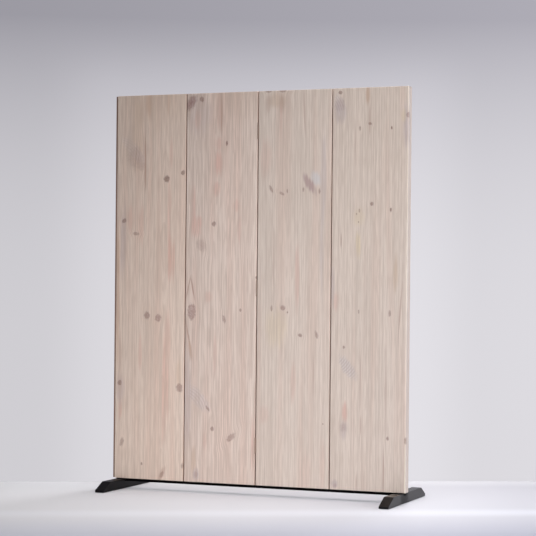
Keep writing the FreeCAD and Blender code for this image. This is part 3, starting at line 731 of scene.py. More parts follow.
K = KnotKind
B = BlushKind
FRONT_TIMBER = (
    Timber(seed=1.3, pith_across=0.205, pith_depth=0.095, ring_width=0.0043, wander=0.024, flame=0.018,
           rings=0.34, lines=0.38, dashes=0.32, cast=(1.060, 1.035, 1.010), knots=(
        Knot(0.082, 1.256, K.SMUDGE, size=1.5), Knot(0.106, 1.225, K.SMUDGE, size=0.7),
        Knot(0.216, 1.172, K.ROUND), Knot(0.285, 1.195, K.SMALL), Knot(0.033, 1.010, K.SMALL, lean=-40),
        Knot(0.085, 0.959, K.SPIKE, lean=85, size=0.6), Knot(0.136, 0.640, K.PURPLE, lean=20),
        Knot(0.184, 0.631, K.PURPLE, lean=-35, size=1.05), Knot(0.019, 0.374, K.SMALL, size=1.05),
        Knot(0.278, 0.362, K.PURPLE, size=1.15), Knot(0.031, 0.142, K.SPIKE, lean=-12, size=0.8),
        Knot(0.118, 0.060), Knot(0.205, 0.022, K.SPIKE, lean=-25, size=0.6), Knot(0.292, 0.060, K.SLIT),
    ), blushes=(
        Blush(0.123, 1.220, 0.004, 0.110, B.RED_LINE, 0.70),
        Blush(0.123, 1.330, 0.003, 0.200, B.RED_LINE, 0.45), Blush(0.090, 1.370, 0.022, 0.150, B.TAN, 0.35),
        Blush(0.138, 1.470, 0.014, 0.050, B.ORANGE, 0.50), Blush(0.222, 1.470, 0.007, 0.050, B.ORANGE, 0.40),
        Blush(0.234, 1.270, 0.008, 0.060), Blush(0.228, 1.050, 0.008, 0.110),
        Blush(0.232, 0.865, 0.009, 0.085, strength=0.95), Blush(0.248, 0.860, 0.005, 0.080, strength=0.8),
        Blush(0.062, 1.020, 0.013, 0.055), Blush(0.108, 0.990, 0.011, 0.070),
        Blush(0.008, 0.880, 0.006, 0.110, B.ORANGE, 0.6), Blush(0.009, 0.640, 0.007, 0.170, B.ORANGE, 0.5),
        Blush(0.030, 0.930, 0.013, 0.130, B.LILAC, 0.7), Blush(0.223, 0.540, 0.013, 0.110),
        Blush(0.214, 0.360, 0.011, 0.180, strength=0.65), Blush(0.228, 0.350, 0.005, 0.130),
        Blush(0.107, 0.490, 0.007, 0.080), Blush(0.205, 0.024, 0.011, 0.030, B.RED_LINE, 0.5, -25),
        Blush(0.150, 1.470, 0.160, 0.090, B.TAN, 0.15), Blush(0.020, 0.500, 0.003, 0.100, B.RED_LINE, 0.5),
        Blush(0.022, 0.275, 0.008, 0.040, strength=0.7), Blush(0.022, 0.350, 0.018, 0.060, B.LILAC, 0.7),
        Blush(0.272, 0.420, 0.013, 0.060, B.TAN, 0.5),
    ), fans=(
        Fan(0.072, 1.285, 0.030, 0.055, 35, 42, 0.0100, 0.5),
    )),
    Timber(seed=4.7, pith_across=0.190, pith_depth=0.055, ring_width=0.0040, wander=0.030, flame=0.026,
           rings=0.30, lines=0.52, dashes=0.44, cast=(1.050, 1.048, 1.060), knots=(
        Knot(0.017, 1.464, K.BRUISE, lean=-38), Knot(0.063, 1.476, K.SMALL), Knot(0.169, 1.304, K.DARK),
        Knot(0.118, 0.996, K.SMALL), Knot(0.065, 0.913, K.SMUDGE, lean=30, size=0.85),
        Knot(0.027, 0.657, K.OVAL), Knot(0.164, 0.630, K.SPIKE, lean=15, size=0.65), Knot(0.232, 0.666),
        Knot(0.098, 0.286, K.SLIT, lean=40, size=1.1), Knot(0.118, 0.208, K.SMALL, size=0.9),
        Knot(0.197, 0.178, K.SPIKE, lean=-48), Knot(0.051, 0.029, K.SMUDGE, size=0.4),
        Knot(0.298, 0.790, K.PIN, size=1.2),
    ), blushes=(
        Blush(0.146, 1.430, 0.005, 0.090, B.RED_LINE, 0.8), Blush(0.134, 1.440, 0.010, 0.080, strength=0.5),
        Blush(0.050, 1.420, 0.050, 0.070, B.LILAC, 0.45), Blush(0.048, 1.400, 0.012, 0.035),
        Blush(0.138, 1.305, 0.015, 0.025, strength=0.6), Blush(0.136, 1.230, 0.016, 0.048, strength=0.85),
        Blush(0.128, 1.128, 0.014, 0.027, strength=0.7), Blush(0.030, 1.050, 0.010, 0.100, strength=0.6),
        Blush(0.060, 1.005, 0.010, 0.022, strength=0.6), Blush(0.042, 0.985, 0.022, 0.040, strength=0.65),
        Blush(0.213, 1.065, 0.015, 0.022), Blush(0.224, 0.980, 0.007, 0.050),
        Blush(0.100, 0.715, 0.015, 0.022), Blush(0.013, 0.752, 0.003, 0.044, B.RED_LINE, 0.8, -13),
        Blush(0.031, 0.748, 0.003, 0.047, B.RED_LINE, 0.9, 11),
        Blush(0.014, 0.565, 0.004, 0.058, B.RED_LINE, 0.8, 11),
        Blush(0.023, 0.510, 0.007, 0.035, B.ORANGE, 0.8, 8), Blush(0.086, 0.160, 0.007, 0.035),
        Blush(0.040, 0.080, 0.011, 0.055, B.TAN, 0.6), Blush(0.288, 0.150, 0.006, 0.110, strength=0.9),
        Blush(0.127, 0.490, 0.009, 0.070), Blush(0.012, 0.330, 0.017, 0.170, B.LILAC, 0.6),
        Blush(0.051, 0.029, 0.012, 0.022, B.LILAC, 0.9), Blush(0.220, 1.470, 0.110, 0.080, B.TAN, 0.15),
    ), fans=(
        Fan(0.060, 0.322, 0.034, 0.050, 35, 40, 0.011, 0.8),
    )),
    Timber(seed=8.9, pith_across=0.120, pith_depth=0.110, ring_width=0.0046, wander=0.022, flame=0.014,
           rings=0.22, lines=0.36, dashes=0.28, cast=(0.976, 0.999, 1.009), knots=(
        Knot(0.054, 1.127, K.SLIT, lean=25, size=1.3), Knot(0.097, 1.110, K.SPIKE, lean=60, size=0.5),
        Knot(0.120, 1.119, K.SLIT, size=0.7), Knot(0.185, 1.124, K.SLIT, size=0.8),
        Knot(0.250, 1.117, K.SLIT, size=0.9), Knot(0.040, 1.499, K.SPIKE, lean=90, size=0.6),
        Knot(0.099, 1.500, K.SPIKE, lean=90, size=0.7), Knot(0.060, 0.675, K.SLIT),
        Knot(0.107, 0.676, K.PURPLE, lean=50, size=0.75), Knot(0.125, 0.660, K.PIN, size=0.7),
        Knot(0.177, 0.574, K.SMALL, lean=60, size=0.85), Knot(0.243, 0.577, K.SLIT, lean=15, size=1.3),
        Knot(0.272, 0.243, size=0.6),
    ), blushes=(
        Blush(0.075, 1.462, 0.038, 0.026, B.TAN, 0.5), Blush(0.040, 1.452, 0.011, 0.034, B.RED_LINE, 0.35),
        Blush(0.094, 1.450, 0.009, 0.036, B.RED_LINE, 0.45), Blush(0.092, 1.385, 0.006, 0.070, strength=0.4),
        Blush(0.187, 1.420, 0.003, 0.080, B.RED_LINE, 0.5, 2),
        Blush(0.030, 1.240, 0.020, 0.070, strength=0.4), Blush(0.266, 1.160, 0.011, 0.170, B.LILAC, 0.6),
        Blush(0.163, 0.790, 0.009, 0.120, strength=0.6), Blush(0.067, 0.850, 0.003, 0.100, B.RED_LINE, 0.4),
        Blush(0.261, 0.900, 0.007, 0.160, B.LILAC, 0.5), Blush(0.080, 0.600, 0.040, 0.070, B.YELLOW, 0.5),
        Blush(0.232, 0.420, 0.003, 0.080, B.RED_LINE, 0.5), Blush(0.150, 0.400, 0.013, 0.070),
        Blush(0.205, 0.060, 0.019, 0.070, strength=0.3), Blush(0.272, 0.090, 0.011, 0.090, strength=0.35),
        Blush(0.030, 0.270, 0.022, 0.035, strength=0.35), Blush(0.234, 1.163, 0.019, 0.027, B.MIST, 1.0, 10),
        Blush(0.208, 1.146, 0.017, 0.036, B.PURPLE, 0.95, 30),
    )),
    Timber(seed=13.1, pith_across=0.150, pith_depth=0.120, ring_width=0.0045, wander=0.022, flame=0.014,
           rings=0.14, lines=0.36, dashes=0.30, cast=(0.998, 1.022, 1.029), knots=(
        Knot(0.031, 1.484, K.SMALL, lean=50, size=0.8), Knot(0.148, 1.365, lean=70, size=1.1),
        Knot(0.109, 1.348, K.SLIT, size=0.8), Knot(0.233, 1.347, K.DARK, size=0.7),
        Knot(0.158, 1.067, K.SMALL, size=0.8), Knot(0.109, 1.042, K.SLIT, size=0.7),
        Knot(0.232, 1.044, K.DARK, size=0.8), Knot(0.098, 1.030, size=0.5), Knot(0.106, 1.000, size=0.5),
        Knot(0.298, 1.394, K.PURPLE, size=0.7), Knot(0.028, 1.436, K.SMUDGE, size=0.9),
        Knot(0.110, 0.666, K.SLIT, size=0.7), Knot(0.231, 0.661, K.SLIT, size=1.1), Knot(0.053, 0.533, K.PIN),
        Knot(0.054, 0.233, K.SMUDGE, size=0.6), Knot(0.227, 0.199, K.PIN, size=1.2),
        Knot(0.296, 0.194, K.SLIT, size=1.1), Knot(0.023, 0.016, K.SMUDGE, size=0.3),
    ), blushes=(
        Blush(0.139, 1.475, 0.009, 0.035, B.ORANGE, 0.7), Blush(0.030, 1.410, 0.026, 0.035, B.LILAC, 0.7),
        Blush(0.147, 1.375, 0.003, 0.060, B.RED_LINE, 0.5),
        Blush(0.090, 1.280, 0.003, 0.090, B.RED_LINE, 0.4), Blush(0.290, 1.350, 0.013, 0.075, B.LILAC, 0.9),
        Blush(0.278, 1.390, 0.010, 0.025, B.YELLOW, 0.6), Blush(0.105, 0.915, 0.009, 0.050, B.YELLOW, 0.9),
        Blush(0.252, 0.800, 0.008, 0.070, B.TAN, 0.7), Blush(0.272, 0.675, 0.003, 0.100, B.RED_LINE, 0.6, -4),
        Blush(0.038, 0.930, 0.003, 0.025, B.RED_LINE, 0.6), Blush(0.020, 0.705, 0.010, 0.035),
        Blush(0.006, 0.760, 0.007, 0.070, B.LILAC, 0.6), Blush(0.058, 0.290, 0.010, 0.040, strength=0.9),
        Blush(0.119, 0.420, 0.003, 0.100, B.RED_LINE, 0.5),
        Blush(0.121, 0.240, 0.003, 0.035, B.RED_LINE, 0.5),
        Blush(0.218, 0.380, 0.003, 0.170, B.RED_LINE, 0.4),
        Blush(0.212, 0.080, 0.003, 0.090, B.RED_LINE, 0.7),
        Blush(0.106, 0.030, 0.003, 0.035, B.RED_LINE, 0.5), Blush(0.019, 0.022, 0.013, 0.018, B.LILAC, 1.0),
        Blush(0.054, 0.225, 0.016, 0.035, B.LILAC, 0.6), Blush(0.106, 1.018, 0.022, 0.032, B.YELLOW, 0.5),
    ), fans=(
        Fan(0.067, 0.457, 0.026, 0.044, 30, -42, 0.0095, 1.0),
        Fan(0.030, 1.432, 0.022, 0.045, 15, 20, 0.0085, 0.8),
    )),
)

WHORL_TOP = 1.46                 # no whorl of knots lies higher on a board
BACK_SEED = 20                   # the seeds of the back boards and of the inner parts follow these
INSIDE_SEED = 40
SEED_STEP = 3.7                  # how far the figures of two seeds lie apart, on wood and on the coats
SCUFF_SEED_STEP = 1.9
WHORL_KNOTS = (K.PIN, K.SLIT, K.SMALL, K.SMALL, K.ROUND, K.PURPLE, K.SPIKE)


def wild_timber(seed: int) -> Timber:
    """Choose a board of its own for a face that has no given one.

    Args:
        seed: The start of its random draws.

    Returns:
        The board's timber, with knots in whorls as a pine grows them.
    """
    draw = random.Random(seed)
    knots: list[Knot] = []
    height = draw.uniform(0.05, 0.30)
    while height < WHORL_TOP:
        for _ in range(draw.randint(2, 4)):
            kind = draw.choice(WHORL_KNOTS)
            knots.append(Knot(draw.uniform(0.02, 0.28), height + draw.uniform(-0.03, 0.03), kind,
                              draw.uniform(-40, 40), draw.uniform(0.7, 1.15)))
        height += draw.uniform(0.33, 0.48)
    return Timber(seed * SEED_STEP, draw.uniform(0.08, 0.22), draw.uniform(0.05, 0.10),
                  draw.uniform(0.004, 0.0047), wander=0.028, flame=0.022, rings=0.30, lines=0.46, dashes=0.42,
                  cast=(1.00, 1.00, 1.01), knots=tuple(knots))


@dataclass(frozen=True)
class WoodTones:
    """The colours of one wood finish, from pale early wood to knot."""

    early: Colour
    late: Colour
    warm: Colour
    cool: Colour
    knot: Colour
    purple: Colour


WHITEWASHED = WoodTones(early=tone(217, 200, 188), late=tone(182, 160, 147), warm=tone(210, 180, 166),
                        cool=tone(206, 190, 178), knot=tone(114, 82, 72), purple=tone(130, 88, 88))
PLAIN_PINE = WoodTones(early=tone(222, 196, 160), late=tone(184, 142, 104), warm=tone(206, 166, 124),
                       cool=tone(210, 192, 160), knot=tone(120, 84, 60), purple=tone(120, 90, 76))
# The tongue's dark brown is partly the pine's own darker tone and partly painted shade for where it sits deep
# in the joints.
BROWN_PINE_AND_JOINT_SHADE = WoodTones(early=tone(156, 126, 110), late=tone(112, 84, 70), warm=tone(142, 108, 90),
                       cool=tone(136, 114, 100), knot=tone(84, 64, 54), purple=tone(90, 70, 66))


@dataclass(frozen=True)
class EdgeLightAndShade:
    """Painted light and shade on a board's long edge: what its side, its bevel and the bevel's lower end keep
    of the face's colour, below 1 as painted shade and above 1 as a painted highlight.
    """

    side: Colour
    bevel: Colour
    bevel_low_highlight: Colour


# Painted light and shade on the edges: the sides get painted shade, strongest in the joints, and the bevels
# get a painted highlight, strongest low down on the outer edges.
JOINT_EDGE_SHADE_AND_HIGHLIGHT = EdgeLightAndShade((0.52, 0.36, 0.30, 1.0), (1.13, 1.12, 1.12, 1.0), (1.13, 1.12, 1.12, 1.0))
OUTER_EDGE_SHADE_AND_HIGHLIGHT = EdgeLightAndShade((0.87, 0.91, 0.96, 1.0), (1.14, 1.18, 1.19, 1.0), (1.34, 1.50, 1.47, 1.0))

# The values of each pattern at which its tone starts and is full, and the tone's share at both.
COOL_PATCH = (0.42, 0.66, 0.0, 0.50)
WARM_STREAK = (0.46, 0.72, 0.0, 0.38)
FIBRE_LIGHT = (0.25, 0.75, 0.92, 1.07)
LINE_SPAN = (0.40, 0.68)
HALO_WARMTH = 0.15               # how warm the wood is close round a knot
PORE_SHADE = 0.30
LOW_BEVEL_HIGHLIGHT = (0.05, 0.30, 1.0, 0.0)       # the heights between which the painted highlight on a bevel's lower end fades out
BEVEL_TURN = (0.30, 0.60)        # a normal's share along the board's width on the bevel, and on the edge
EDGE_TURN = (0.85, 0.97)
FIBRE_ROUGH = 0.16               # what fibre, knots and latewood add to the roughness
KNOT_ROUGH = -0.08
LATE_ROUGH = -0.07


def new_material(name: str) -> tuple[Material, Graph, bpy.types.NodeInputs]:
    """Start a material.

    Args:
        name: The material's name.

    Returns:
        The material, its graph and the inputs of its Principled shader.
    """
    material = bpy.data.materials.new(name)
    material.use_nodes = True
    return material, Graph(material.node_tree), material.node_tree.nodes["Principled BSDF"].inputs


@dataclass(frozen=True)
class WoodFinish:
    """Sawn pine with a matt lacquer."""

    name: str
    tones: WoodTones
    timber: Timber
    origin: Vector
    flipped: bool = False
    roughness: float = 0.56
    relief_height: float = 0.00012
    relief_strength: float = 0.7
    # The painted light and shade on the left and the right long edge.
    edges: tuple[EdgeLightAndShade | None, EdgeLightAndShade | None] = (None, None)

    def _place(self, graph: Graph) -> Socket:
        """Measure the place on the board.

        Args:
            graph: The material's graph.

        Returns:
            The place across the board, into its thickness and up it.
        """
        turn = (1.0, -1.0, 1.0) if self.flipped else (1.0, 1.0, 1.0)
        place = graph.vector("SUBTRACT", graph.object_place(), tuple(self.origin))
        return graph.vector("MULTIPLY", place, turn)

    def _lay_marks(self, graph: Graph, effects: Effects, place: Socket, colour: Socket) -> Socket:
        """Lay the board's blushes and fans over its colour.

        Args:
            graph: The material's graph.
            effects: The shared node groups.
            place: The place on the board.
            colour: The colour so far.

        Returns:
            The colour with the marks.
        """
        for blush in self.timber.blushes:
            colour = graph.use(effects.blush, **outline(place, blush), Strength=blush.strength, Colour=colour,
                               Mark=blush.kind.value)["Colour"]
        for fan in self.timber.fans:
            colour = graph.use(effects.fan, **outline(place, fan), Stripe_turn=math.radians(fan.stripe_turn),
                               Pitch=fan.pitch, Strength=fan.strength, Colour=colour, Pale=B.MIST.value,
                               Dark=B.PURPLE.value)["Colour"]
        return colour

    def _paint_edge_light_and_shade(self, graph: Graph, colour: Socket, up: Socket) -> Socket:
        """Paint light and shade on the board's two long edges and their bevels, over its colour.

        Args:
            graph: The material's graph.
            colour: The colour so far.
            up: The height along the board.

        Returns:
            The colour with painted light and shade on the edges.
        """
        sideways = graph.split(graph.add("ShaderNodeNewGeometry").outputs["True Normal"])[0]
        for edge, way in zip(self.edges, (-1.0, 1.0)):
            if edge is not None:
                facing = graph.times(sideways, way)
                # Painted highlight on the bevel, stronger at its lower end, and painted shade on the side
                # face.
                bevel = graph.blend(graph.slope(up, *LOW_BEVEL_HIGHLIGHT), edge.bevel, edge.bevel_low_highlight)
                worn = graph.blend(graph.slope(facing, *BEVEL_TURN), WHITE, bevel)
                worn = graph.blend(graph.slope(facing, *EDGE_TURN), worn, edge.side)
                colour = graph.vector("MULTIPLY", colour, worn)
        return colour

    def build(self, effects: Effects) -> Material:
        """Make the material.

        Args:
            effects: The shared node groups.

        Returns:
            The material.
        """
        material, graph, shader = new_material(self.name)
        timber, tones = self.timber, self.tones
        place = self._place(graph)
        across, _, up = graph.split(place)
        so_far = {"Bent": across, "Shade": 0.0, "Tint": 0.0, "Halo": 0.0}
        for knot in timber.knots:
            shape = knot.kind.value
            node = graph.use(effects.knot, **outline(place, knot), **so_far, Depth=shape.depth,
                             Purple=shape.purple, Softness=shape.softness)
            so_far = {name: node[name] for name in so_far}
        shade, halo = so_far["Shade"], so_far["Halo"]
        figure = graph.use(effects.figure, Place=place, Bent=so_far["Bent"], Halo=halo,
                           Pith_across=timber.pith_across, Pith_depth=timber.pith_depth,
                           Ring_width=timber.ring_width, Wander=timber.wander, Flame=timber.flame,
                           Seed=timber.seed)
        colour = graph.blend(graph.slope(figure["Patch"], *COOL_PATCH), tones.early, tones.cool)
        colour = graph.blend(graph.slope(figure["Streak"], *WARM_STREAK), colour, tones.warm)
        colour = self._lay_marks(graph, effects, place, colour)
        colour = graph.blend(graph.times(figure["Latewood"], timber.rings), colour, tones.late)
        colour = graph.blend(graph.times(halo, HALO_WARMTH), colour, tones.warm)
        for name, share in (("Line", timber.lines), ("Dash", timber.dashes)):
            colour = graph.blend(graph.slope(figure[name], *LINE_SPAN, 0.0, share), colour, tones.late)
        colour = graph.scaled(colour, graph.slope(figure["Fibre"], *FIBRE_LIGHT, smooth=False))
        colour = graph.vector("MULTIPLY", colour, timber.cast)
        colour = graph.blend(graph.times(figure["Pore"], PORE_SHADE), colour, tones.late)
        colour = graph.blend(shade, colour, graph.blend(so_far["Tint"], tones.knot, tones.purple))
        graph.feed(shader["Base Color"], self._paint_edge_light_and_shade(graph, colour, up))
        rough = graph.times_plus(figure["Fibre"], FIBRE_ROUGH, self.roughness - FIBRE_ROUGH / 2)
        rough = graph.times_plus(shade, KNOT_ROUGH, rough)
        graph.feed(shader["Roughness"], graph.times_plus(figure["Latewood"], LATE_ROUGH, rough))
        relief = graph.use(effects.relief, Place=place, Seed=timber.seed)["Height"]
        graph.feed(shader["Normal"], graph.bump(relief, self.relief_height, self.relief_strength))
        return material


def outline(place: Socket, mark: Knot | Blush | Fan) -> dict[str, Feed]:
    """Give a mark's outline as inputs of its node group.

    Args:
        place: The place on the board.
        mark: The mark.

    Returns:
        The inputs by name.
    """
    return {"Place": place, "Across": mark.across, "Up": mark.up, "Half_wide": mark.half_wide,
            "Half_tall": mark.half_tall, "Lean": math.radians(mark.lean)}


@dataclass(frozen=True)
class CoatFinish:
    """A coated or bare metal, or rubber: one colour with grain, handling marks and dust."""

    name: str
    colour: Colour
    worn: Colour
    dust: Colour
    metallic: float = 0.0
    roughness: float = 0.3
    grain: float = 900.0
    grain_height: float = 0.00004
    grain_strength: float = 0.6
    grain_rough: float = 0.10
    scratch_share: float = 0.25
    scratch_rough: float = 0.12
    scratch_depth: float = 0.5
    dust_share: float = 0.12
    specular: float = 0.5
    coat: float = 0.0
    coat_roughness: float = 0.08
    coat_ior: float = 1.35
    matt_middle: float = 0.0     # where along Y the coat is thin, half how long, and what is left of it
    matt_half: float = 0.0
    matt_share: float = 0.35
    matt_fade: float = 0.006

    def build(self, effects: Effects) -> Material:
        """Make the material.

        Args:
            effects: The shared node groups.

        Returns:
            The material.
        """
        material, graph, shader = new_material(self.name)
        where = graph.object_place()
        seed = len(self.name) * SCUFF_SEED_STEP
        marks = graph.use(effects.scuffs, Place=where, Grain=self.grain, Seed=seed)
        scratched = graph.times(marks["Scratch"], self.scratch_share)
        colour = graph.blend(scratched, self.colour, self.worn)
        colour = graph.blend(graph.times(marks["Dust"], self.dust_share), colour, self.dust)
        graph.feed(shader["Base Color"], colour)
        for name, value in (("Metallic", self.metallic), ("Specular IOR Level", self.specular),
                            ("Coat Weight", self.coat), ("Coat Roughness", self.coat_roughness),
                            ("Coat IOR", self.coat_ior)):
            shader[name].default_value = value
        if self.matt_half:
            away = graph.math("ABSOLUTE", graph.less(graph.split(where)[1], self.matt_middle))
            coated = graph.slope(away, self.matt_half - self.matt_fade, self.matt_half + self.matt_fade,
                                 self.coat * self.matt_share, self.coat)
            graph.feed(shader["Coat Weight"], coated)
        rough = self.roughness - self.grain_rough / 2
        rough = graph.times_plus(marks["Grain"], self.grain_rough, rough)
        rough = graph.times_plus(marks["Dust"], self.dust_share, rough)
        rough = graph.times_plus(marks["Scratch"], self.scratch_rough, rough)
        graph.feed(shader["Roughness"], rough)
        relief = graph.times_plus(marks["Scratch"], -self.scratch_depth, marks["Grain"])
        graph.feed(shader["Normal"], graph.bump(relief, self.grain_height, self.grain_strength))
        return material


BLACK_LACQUER = CoatFinish("black_lacquer", tone(10, 8, 9), tone(70, 66, 64), tone(90, 86, 84),
                           roughness=0.45, grain=420.0, grain_height=0.00002, scratch_share=0.08,
                           dust_share=0.02, specular=0.05, coat=0.52, matt_middle=-0.038, matt_half=0.043)
DULL_LACQUER = replace(BLACK_LACQUER, name="dull_lacquer", coat=0.15, matt_half=0.0)
BLACK_COAT = CoatFinish("black_coat", tone(5, 4, 5), tone(30, 28, 27), tone(40, 38, 36), roughness=0.6,
                        scratch_share=0.05, dust_share=0.02, specular=0.03)
BRONZE = CoatFinish("bronzed_steel", tone(160, 137, 124), tone(188, 162, 142), tone(150, 132, 120),
                    metallic=0.30, roughness=0.50, scratch_share=0.45, dust_share=0.15)
DARK_STEEL = CoatFinish("blackened_steel", tone(70, 68, 66), tone(150, 148, 144), tone(110, 106, 102),
                        metallic=0.9, roughness=0.38, scratch_share=0.4, dust_share=0.1)
ZINC = CoatFinish("zinc_plate", tone(196, 198, 196), tone(226, 226, 222), tone(150, 148, 144), metallic=1.0,
                  roughness=0.32, scratch_share=0.4, dust_share=0.1)
RUBBER = CoatFinish("black_rubber", tone(34, 34, 34), tone(80, 80, 78), tone(116, 112, 106), roughness=0.82,
                    grain=1500.0, grain_height=0.0001, scratch_share=0.2, dust_share=0.22)


# ---------------------------------------------------------------- modelling by hand

class Bench:
    """Small steps of modelling with Blender's own operators."""

    @staticmethod
    def clear() -> None:
        """Leave edit mode with nothing selected."""
        if bpy.context.object is not None and bpy.context.object.mode != "OBJECT":
            bpy.ops.object.mode_set(mode="OBJECT")
        bpy.ops.object.select_all(action="DESELECT")

    @staticmethod
    def pick(piece: Piece) -> None:
        """Make a piece the only selected and active one."""
        Bench.clear()
        piece.select_set(True)
        bpy.context.view_layer.objects.active = piece

    @staticmethod
    def take_new(name: str) -> Piece:
        """Name the primitive just added and put its place into its mesh.

        Args:
            name: Its name.

        Returns:
            The primitive, at the origin.
        """
        piece = bpy.context.object
        piece.name = piece.data.name = name
        bpy.ops.object.transform_apply(location=True, rotation=True, scale=True)
        return piece

    @staticmethod
    def block(name: str, low: Vector, high: Vector) -> Piece:
        """Add a box with its place in its mesh.

        Args:
            name: The piece's name.
            low: Its lowest corner.
            high: Its highest corner.

        Returns:
            The piece, at the origin.
        """
        Bench.clear()
        bpy.ops.mesh.primitive_cube_add(size=1.0, location=(low + high) / 2, scale=high - low)
        return Bench.take_new(name)

    @staticmethod
    def select(piece: Piece, kind: str, wanted: Callable[[bpy.types.bpy_struct], bool]) -> None:
        """Enter edit mode with only those edges or faces selected that pass a test.

        Args:
            piece: The piece.
            kind: EDGE or FACE.
            wanted: The test, given one edge or one face.
        """
        Bench.pick(piece)
        bpy.ops.object.mode_set(mode="EDIT")
        bpy.ops.mesh.select_mode(type=kind)
        bpy.ops.mesh.select_all(action="DESELECT")
        bpy.ops.object.mode_set(mode="OBJECT")
        for item in piece.data.edges if kind == "EDGE" else piece.data.polygons:
            item.select = wanted(item)
        bpy.ops.object.mode_set(mode="EDIT")

    @staticmethod
    def finish(piece: Piece, modifiers: Iterable[bpy.types.Modifier], smooth_angle: float) -> None:
        """Apply a piece's modifiers and smooth its shading across shallow edges.

        Args:
            piece: The piece.
            modifiers: The modifiers.
            smooth_angle: The angle in degrees up to which an edge is smooth.
        """
        Bench.pick(piece)
        for modifier in modifiers:
            bpy.ops.object.modifier_apply(modifier=modifier.name)
        bpy.ops.object.shade_smooth_by_angle(angle=math.radians(smooth_angle))
        Bench.clear()


def dress(piece: Piece, material: Material) -> None:
    """Give a new piece one material all over."""
    piece.data.materials.clear()
    piece.data.materials.append(material)


def dress_node(node: str, material: Material) -> None:
    """Put a material in every slot of a CAD node."""
    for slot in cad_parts[node].material_slots:
        slot.material = material


def register(piece: Piece, body: str, slot: str, *nodes: str) -> None:
    """Tie a finished piece to the frame and report it.

    Args:
        piece: The piece.
        body: The body that it rides on.
        slot: The material slot that its finish comes from; not used.
        *nodes: The CAD nodes that it stands for.
    """
    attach(piece, body)
    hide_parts(*nodes)
    log.info("%s: %d faces on %s", piece.name, len(piece.data.polygons), body)


# ---------------------------------------------------------------- the leaves

@dataclass
class Leaf:
    """One leaf: two wide boards on an inner frame and a tongue."""

    number: int
    effects: Effects
    bevel: float = 0.003
    end_bevel: float = 0.001
    easing: float = 0.0005
    easing_steps: int = 2
    easing_angle: float = 25.0       # an arris sharper than this is eased
    smooth_angle: float = 35.0
    body: str = field(init=False)

    def __post_init__(self) -> None:
        """Name the body that the leaf's pieces ride on."""
        self.body = f"leaf_{self.number}"

    @staticmethod
    def _bevel_face(piece: Piece, face: float, axis: int, width: float) -> None:
        """Bevel a board's edges that lie in its face and don't run along one axis.

        Args:
            piece: The board.
            face: The face's place along Y.
            axis: The axis that the edges keep to one place on.
            width: The bevel's width.
        """
        def wanted(edge: bpy.types.MeshEdge) -> bool:
            """Tell whether an edge is one of them."""
            start, end = (piece.data.vertices[index].co for index in edge.vertices)
            in_face = max(abs(start.y - face), abs(end.y - face)) < SAME
            return in_face and abs(start[axis] - end[axis]) < SAME

        Bench.select(piece, "EDGE", wanted)
        bpy.ops.mesh.bevel(offset=width, segments=1, affect="EDGES")
        bpy.ops.object.mode_set(mode="OBJECT")

    def board(self, front: bool) -> None:
        """Model a board: bevelled along its long outer edges, eased at its ends and arrises.

        Args:
            front: Whether it is the front board.
        """
        side = "front" if front else "back"
        node = f"{self.body}_{side}_board"
        low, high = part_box(node)
        face = low.y if front else high.y
        piece = Bench.block(f"{self.body}_{side}_planed_board", low, high)
        for axis, width in ((0, self.bevel), (2, self.end_bevel)):
            self._bevel_face(piece, face, axis, width)
        easing = piece.modifiers.new("easing", "BEVEL")
        easing.width = self.easing
        easing.segments = self.easing_steps
        easing.limit_method = "ANGLE"
        easing.angle_limit = math.radians(self.easing_angle)
        Bench.finish(piece, [easing], self.smooth_angle)
        timber = FRONT_TIMBER[self.number - 1] if front else wild_timber(self.number + BACK_SEED)
        finish = WoodFinish(f"whitewashed_pine_{node}", WHITEWASHED, timber, Vector((low.x, face, low.z)),
                            flipped=not front, edges=(JOINT_EDGE_SHADE_AND_HIGHLIGHT if self.number > 1 else OUTER_EDGE_SHADE_AND_HIGHLIGHT,
                                                      JOINT_EDGE_SHADE_AND_HIGHLIGHT if self.number < LEAF_COUNT else OUTER_EDGE_SHADE_AND_HIGHLIGHT))
        dress(piece, finish.build(self.effects))
        register(piece, self.body, "pine_board", node)

    def dress_inside(self) -> None:
        """Dress the stiles, the rails and the tongue."""
        timber = wild_timber(self.number + INSIDE_SEED)
        bare = Timber(timber.seed, timber.pith_across, timber.pith_depth, ring_width=0.0035, wander=0.02,
                      flame=0.02, rings=0.80, lines=0.40, dashes=0.25)
        low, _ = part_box(f"{self.body}_left_stile")
        plain = WoodFinish(f"plain_pine_{self.body}", PLAIN_PINE, bare, low, roughness=0.62)
        dress_node(f"{self.body}_rails", plain.build(self.effects))
        washed = WoodFinish(f"whitewashed_stiles_{self.body}", WHITEWASHED, bare, low,
                            edges=(OUTER_EDGE_SHADE_AND_HIGHLIGHT, OUTER_EDGE_SHADE_AND_HIGHLIGHT)).build(self.effects)
        for part in ("left_stile", "right_stile"):
            dress_node(f"{self.body}_{part}", washed)
        # The tongue is dark brown, partly painted shade for the joints.
        low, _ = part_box(f"{self.body}_tongue")
        brown_and_shade = WoodFinish(f"brown_pine_and_shade_{self.body}", BROWN_PINE_AND_JOINT_SHADE, bare, low, roughness=0.60)
        dress_node(f"{self.body}_tongue", brown_and_shade.build(self.effects))

    def build(self) -> None:
        """Make and dress the whole leaf."""
        self.board(front=True)
        self.board(front=False)
        self.dress_inside()


# ---------------------------------------------------------------- screws

